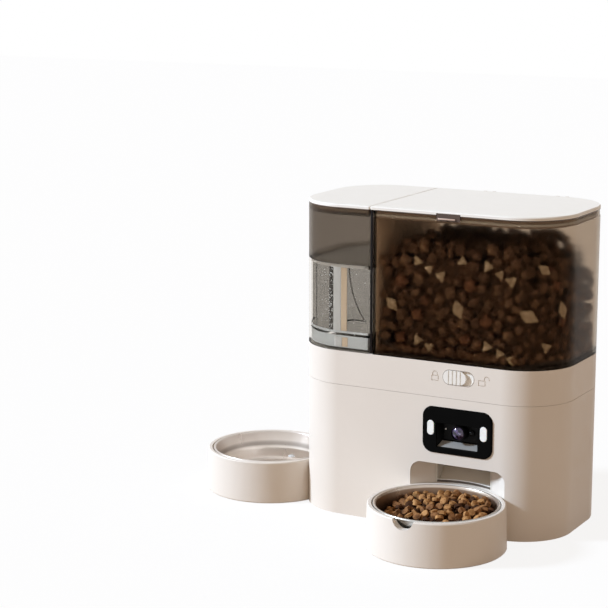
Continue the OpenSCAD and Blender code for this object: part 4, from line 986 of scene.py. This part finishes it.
# Dark bed behind the chunks, its colour a painted shadow, cut to the hopper's plan and sloped at the right
# end
core = block("hopper_kibble_bed", (-37, -67, 186), (138, 67, 300))
edit(core, "EDGE")
pick_edges(core, lambda a, b: upright(a, b) and a.x > 100 * MM)
bpy.ops.mesh.bevel(offset=47 * MM, segments=12)
pick_edges(core, lambda a, b: upright(a, b) and a.x < 0)
bpy.ops.mesh.bevel(offset=6 * MM, segments=3)
bpy.ops.mesh.select_all(action="SELECT")
bpy.ops.mesh.subdivide(number_cuts=4)
leave_edit()
core_top, core_depth = 290 * MM, 10
for point in core.data.vertices:
    food_top = (kibble_top(point.co.x / MM, point.co.y / MM) - core_depth) * MM
    if point.co.z > min(core_top, food_top):
        point.co.z = food_top
finished(core, 60, "hopper", chunk_bed_shadow)


def turn_up_edge():
    """Sinks the selected top of some water a little, so that its edge stands up at the wall."""
    bpy.ops.mesh.inset(thickness=1.6 * MM)
    bpy.ops.transform.translate(value=(0, 0, -0.7 * MM))


# Water in the tank: rounded like the tank's inside, stepped in at the lip and turned up at the wall
water = end_rounded("tank_water_body", (-147.4, -77.6, 196.8), (-58.1, 79.9, 265.8), 54.4, 0.8, 2)
pick_faces(water, faces_up)
bpy.ops.mesh.inset(thickness=2.2 * MM)
bpy.ops.mesh.extrude_region_move(TRANSFORM_OT_translate={"value": (0, 0, 3 * MM)})
turn_up_edge()
leave_edit()
finished(water, 40, "tank", tank_water)

# Upright strips inside the tank's front wall: dark, milky and beige painted reflections, a thin dark rib
# further back on the left, and a bowed line beside them
rib_low, rib_high = 198.5, 266.5
for name, x0, x1, y, deep, finish, slot in (
        ("tank_rib_grey", -104.6, -100.4, -78.2, 1.0, dark_rib_and_reflection, "smoked_plastic"),
        ("tank_rib_milky", -99.2, -90.6, -79.0, 1.0, reflection_milky, "clear_plastic"),
        ("tank_rib_beige", -90.2, -83.4, -79.0, 1.0, reflection_beige, "clear_plastic"),
        ("tank_rib_left", -126.6, -126.0, -66.0, 0.8, dark_rib_and_reflection, "smoked_plastic")):
    bar(name, (x0, y - deep / 2, rib_low), (x1, y + deep / 2, rib_high), 0.2, "tank", finish)

bow_axis = Vector((16, -78.8, 268.5)) * MM
bow = strip("tank_rib_bowed", (-81, -78.8, 268.5), 0.5, 2)
edit_all(bow)
bpy.ops.mesh.spin(steps=18, angle=math.radians(36), center=bow_axis, axis=(0, 1, 0))
leave_edit()
finished(bow, 40, "tank", rib_faint)


def corner_front(x):
    """Depth of the tank's rounded front corner, just behind its wall."""
    return 0.4 - CORNER_Y - math.sqrt(53.4 ** 2 - (x + CORNER_X) ** 2)


# Air bubbles at the dark reflection strip, on the rounded corner and on the flat front: number, x, z, size
# and depth
bubble = ball("bubble", 1, 1)
edit_all(bubble, "VERT")
bpy.ops.transform.resize(value=(1, 0.7, 1.1))
bpy.ops.transform.vertex_random(offset=0.05, seed=5)
leave_edit()
bpy.ops.object.shade_smooth()
foam = random.Random(7)
fizz = []
for number, across, up, sizes, front in (
        (64, (-104.4, -100.0), (200, 267), (0.35, 0.8), lambda x: -79.1),
        (40, (-118, -106), (198, 262), (0.25, 0.55), corner_front),
        (16, (-80, -62), (198, 266), (0.25, 0.45), lambda x: -79.2)):
    for _ in range(number):
        x, z = foam.uniform(*across), foam.uniform(*up)
        size = foam.uniform(*sizes)
        fizz.append((Vector((x, front(x), z)) * MM, Matrix.Identity(3), Vector((size, size, size)) * MM))
scatter("tank_bubbles", bubble, fizz, "tank", bubble_shine)
bpy.data.objects.remove(bubble)

# Pale foot lining inside the tank's skirt, and pale lines in front at the water's edge and at the floor:
# painted light and painted highlights where the clear tank shows bright
front_part = -30
plan_ring("tank_foot_painted_light", (-147.2, -79.6, 181), (-58.4, 79.6, 193.8), 54, 1.2, 0.6, "tank", foot_painted_light)
plan_ring("tank_water_line_highlight", (-147.55, -80.05, 266.2), (-57.95, 80.05, 269.8), 54.55, 0.6, 0.1, "tank",
          water_line_highlight, front_part)
plan_ring("tank_floor_line_light", (-147.4, -79.9, 196.5), (-58.1, 79.9, 198.8), 54.4, 0.6, 0.3, "tank", foot_painted_light,
          front_part)
# Milky and beige strips at the foot, carrying the painted reflections below the tank's floor
for name, x0, x1, finish in (
        ("tank_foot_milky", -97.7, -89.1, reflection_milky), ("tank_foot_beige", -88.7, -81.9, reflection_beige)):
    bar(name, (x0, -80.0, 182.0), (x1, -79.7, 192.0), 0.1, "tank", finish)

# Frosted lining on the tank's wall beside the hopper, below and above the water line
bar("tank_lining_low", (-58.05, -60, 197.8), (-57.95, 76, 265.8), 0.02, "tank", frost_pale)
bar("tank_lining_high", (-58.5, -60, 271.0), (-58.1, 76, 320.0), 0.1, "tank", frost_pale)

# Gleam of the tank's floor under water, open round the neck
neck_hole = drum("neck_hole", 48, 12.5 * MM, 20 * MM, Vector((-101, -26, 197.4)) * MM)
plate = end_rounded("tank_floor_plate", (-146.4, -77.0, 197.1), (-59.2, 78.2, 197.7), 53.4)
leave_edit()
opening = plate.modifiers.new("neck", "BOOLEAN")
opening.operation = "DIFFERENCE"
opening.object = neck_hole
bpy.ops.object.modifier_apply(modifier="neck")
bpy.data.objects.remove(neck_hole)
finished(plate, 30, "tank", floor_gleam)

# Near-black strip in the gap between the tank and the hopper, a painted shade, and a pale film on the
# hopper's left wall
bar("hopper_gap_shade_strip", (-55.3, -81.3, 178.8), (-52.6, -80.3, 328.0), 0.2, "hopper", gap_painted_shade)
bar("hopper_wall_film", (-49.7, -77.5, 181.6), (-49.3, 77.5, 320.5), 0.1, "hopper", wall_film)

# Water in the left bowl, filled to the steel, with its edge turned up
pool = drum("dish_water_body", 96, 57 * MM, 12 * MM, WATER_BOWL + Vector((0, 0, 22 * MM)))
edit(pool)
pick_faces(pool, lambda centre, normal: normal.z < -0.9)
bpy.ops.transform.resize(value=(0.938, 0.938, 1), center_override=WATER_BOWL)
for inward, down in ((1.6, 3.2), (2.2, 2.2), (4.6, 1.6)):
    bpy.ops.mesh.extrude_region_move(TRANSFORM_OT_translate={"value": (0, 0, -down * MM)})
    shrink = 1 - inward / 52
    bpy.ops.transform.resize(value=(shrink, shrink, 1), center_override=WATER_BOWL)
pick_faces(pool, faces_up)
turn_up_edge()
leave_edit()
finished(pool, 40, "water_bowl", dish_water)

# Painted glint on the water in the left bowl, made as a flat floating bubble
flat_ball("dish_glint", 3, 4, (-196.6, 3.4, 27.3), (1, 0.9, 0.4), "water_bowl", bubble_shine)

# White lip on the tank's cover that closes the seam beside the hopper's lid
bar("tank_cover_lip", (-56.1, -81.4, 330.2), (-55.14, 81.4, 332.96), 0.04, "tank", white)

# Pale strip on the latch: a painted highlight
bar("latch_highlight_strip", (21.5, -83.75, 325.0), (40.5, -83.2, 326.6), 0.15, "latch", latch_highlight)

# Grey line round the lock's slot: painted shade of the slot's gap
slot_shade = block("lock_slot_shade_line", (28.9, -82.58, 155.8), (64.1, -82.38, 171.8))
edit(slot_shade, "EDGE")
pick_edges(slot_shade, lambda a, b: abs(a.y - b.y) > 0.1 * MM)
bpy.ops.mesh.bevel(offset=7.9 * MM, segments=12)
bpy.ops.mesh.select_mode(type="FACE")
pick_faces(slot_shade, lambda centre, normal: abs(normal.y) > 0.9)
bpy.ops.mesh.inset(thickness=0.6 * MM)
bpy.ops.mesh.bridge_edge_loops()
leave_edit()
finished(slot_shade, 40, "base", slot_shade_grey)

# Grey sill on the sloped lower side of the camera's window: its grey is painted light on the dark slope
sill = strip("window_sill", (46.5, -78.3, 89.2), 45.6, 6.4)
edit(sill, "EDGE")
pick_edges(sill, lambda a, b: min(a.y, b.y) > -78.3 * MM)
bpy.ops.transform.translate(value=(0, 0, 5 * MM))
bpy.ops.transform.resize(value=(0.87, 1, 1), center_override=Vector((46.5, -75.1, 94.2)) * MM)
bpy.ops.mesh.select_all(action="SELECT")
bpy.ops.mesh.subdivide(number_cuts=2)
leave_edit()
backing = sill.modifiers.new("backing", "SOLIDIFY")
backing.thickness = 0.4 * MM
backing.offset = 1
bpy.ops.object.modifier_apply(modifier="backing")
finished(sill, 30, "base", sill_painted_light)

# Small pilot lamp beside the lens
flat_ball("window_pilot_lamp", 2, 0.9, (29.2, -73.1, 106.4), (1, 0.6, 1), "base", lamp_milk)


# Bead along the lower lip of the food outlet, and below it a dark strip of painted shadow, turned about the
# bowl's axis
def outlet_arc(name, radius, z, thick, high, finish):
    half_width, outlet_radius = 30, 72.5
    half = math.asin(half_width / outlet_radius)
    start = math.pi / 2 - half
    spot = FOOD_BOWL / MM + Vector((radius * math.cos(start), radius * math.sin(start), z))
    arc = strip(name, spot, thick, high, (math.pi / 2, 0, start))
    edit_all(arc)
    bpy.ops.mesh.spin(steps=24, angle=2 * half, center=FOOD_BOWL, axis=(0, 0, -1))
    leave_edit()
    finished(arc, 40, "base", finish)


outlet_arc("outlet_lip_bead", 72.3, 49.0, 0.8, 0.9, white)
outlet_arc("outlet_lip_shadow", 72.4, 47.2, 0.3, 2.4, seam_painted_shadow)
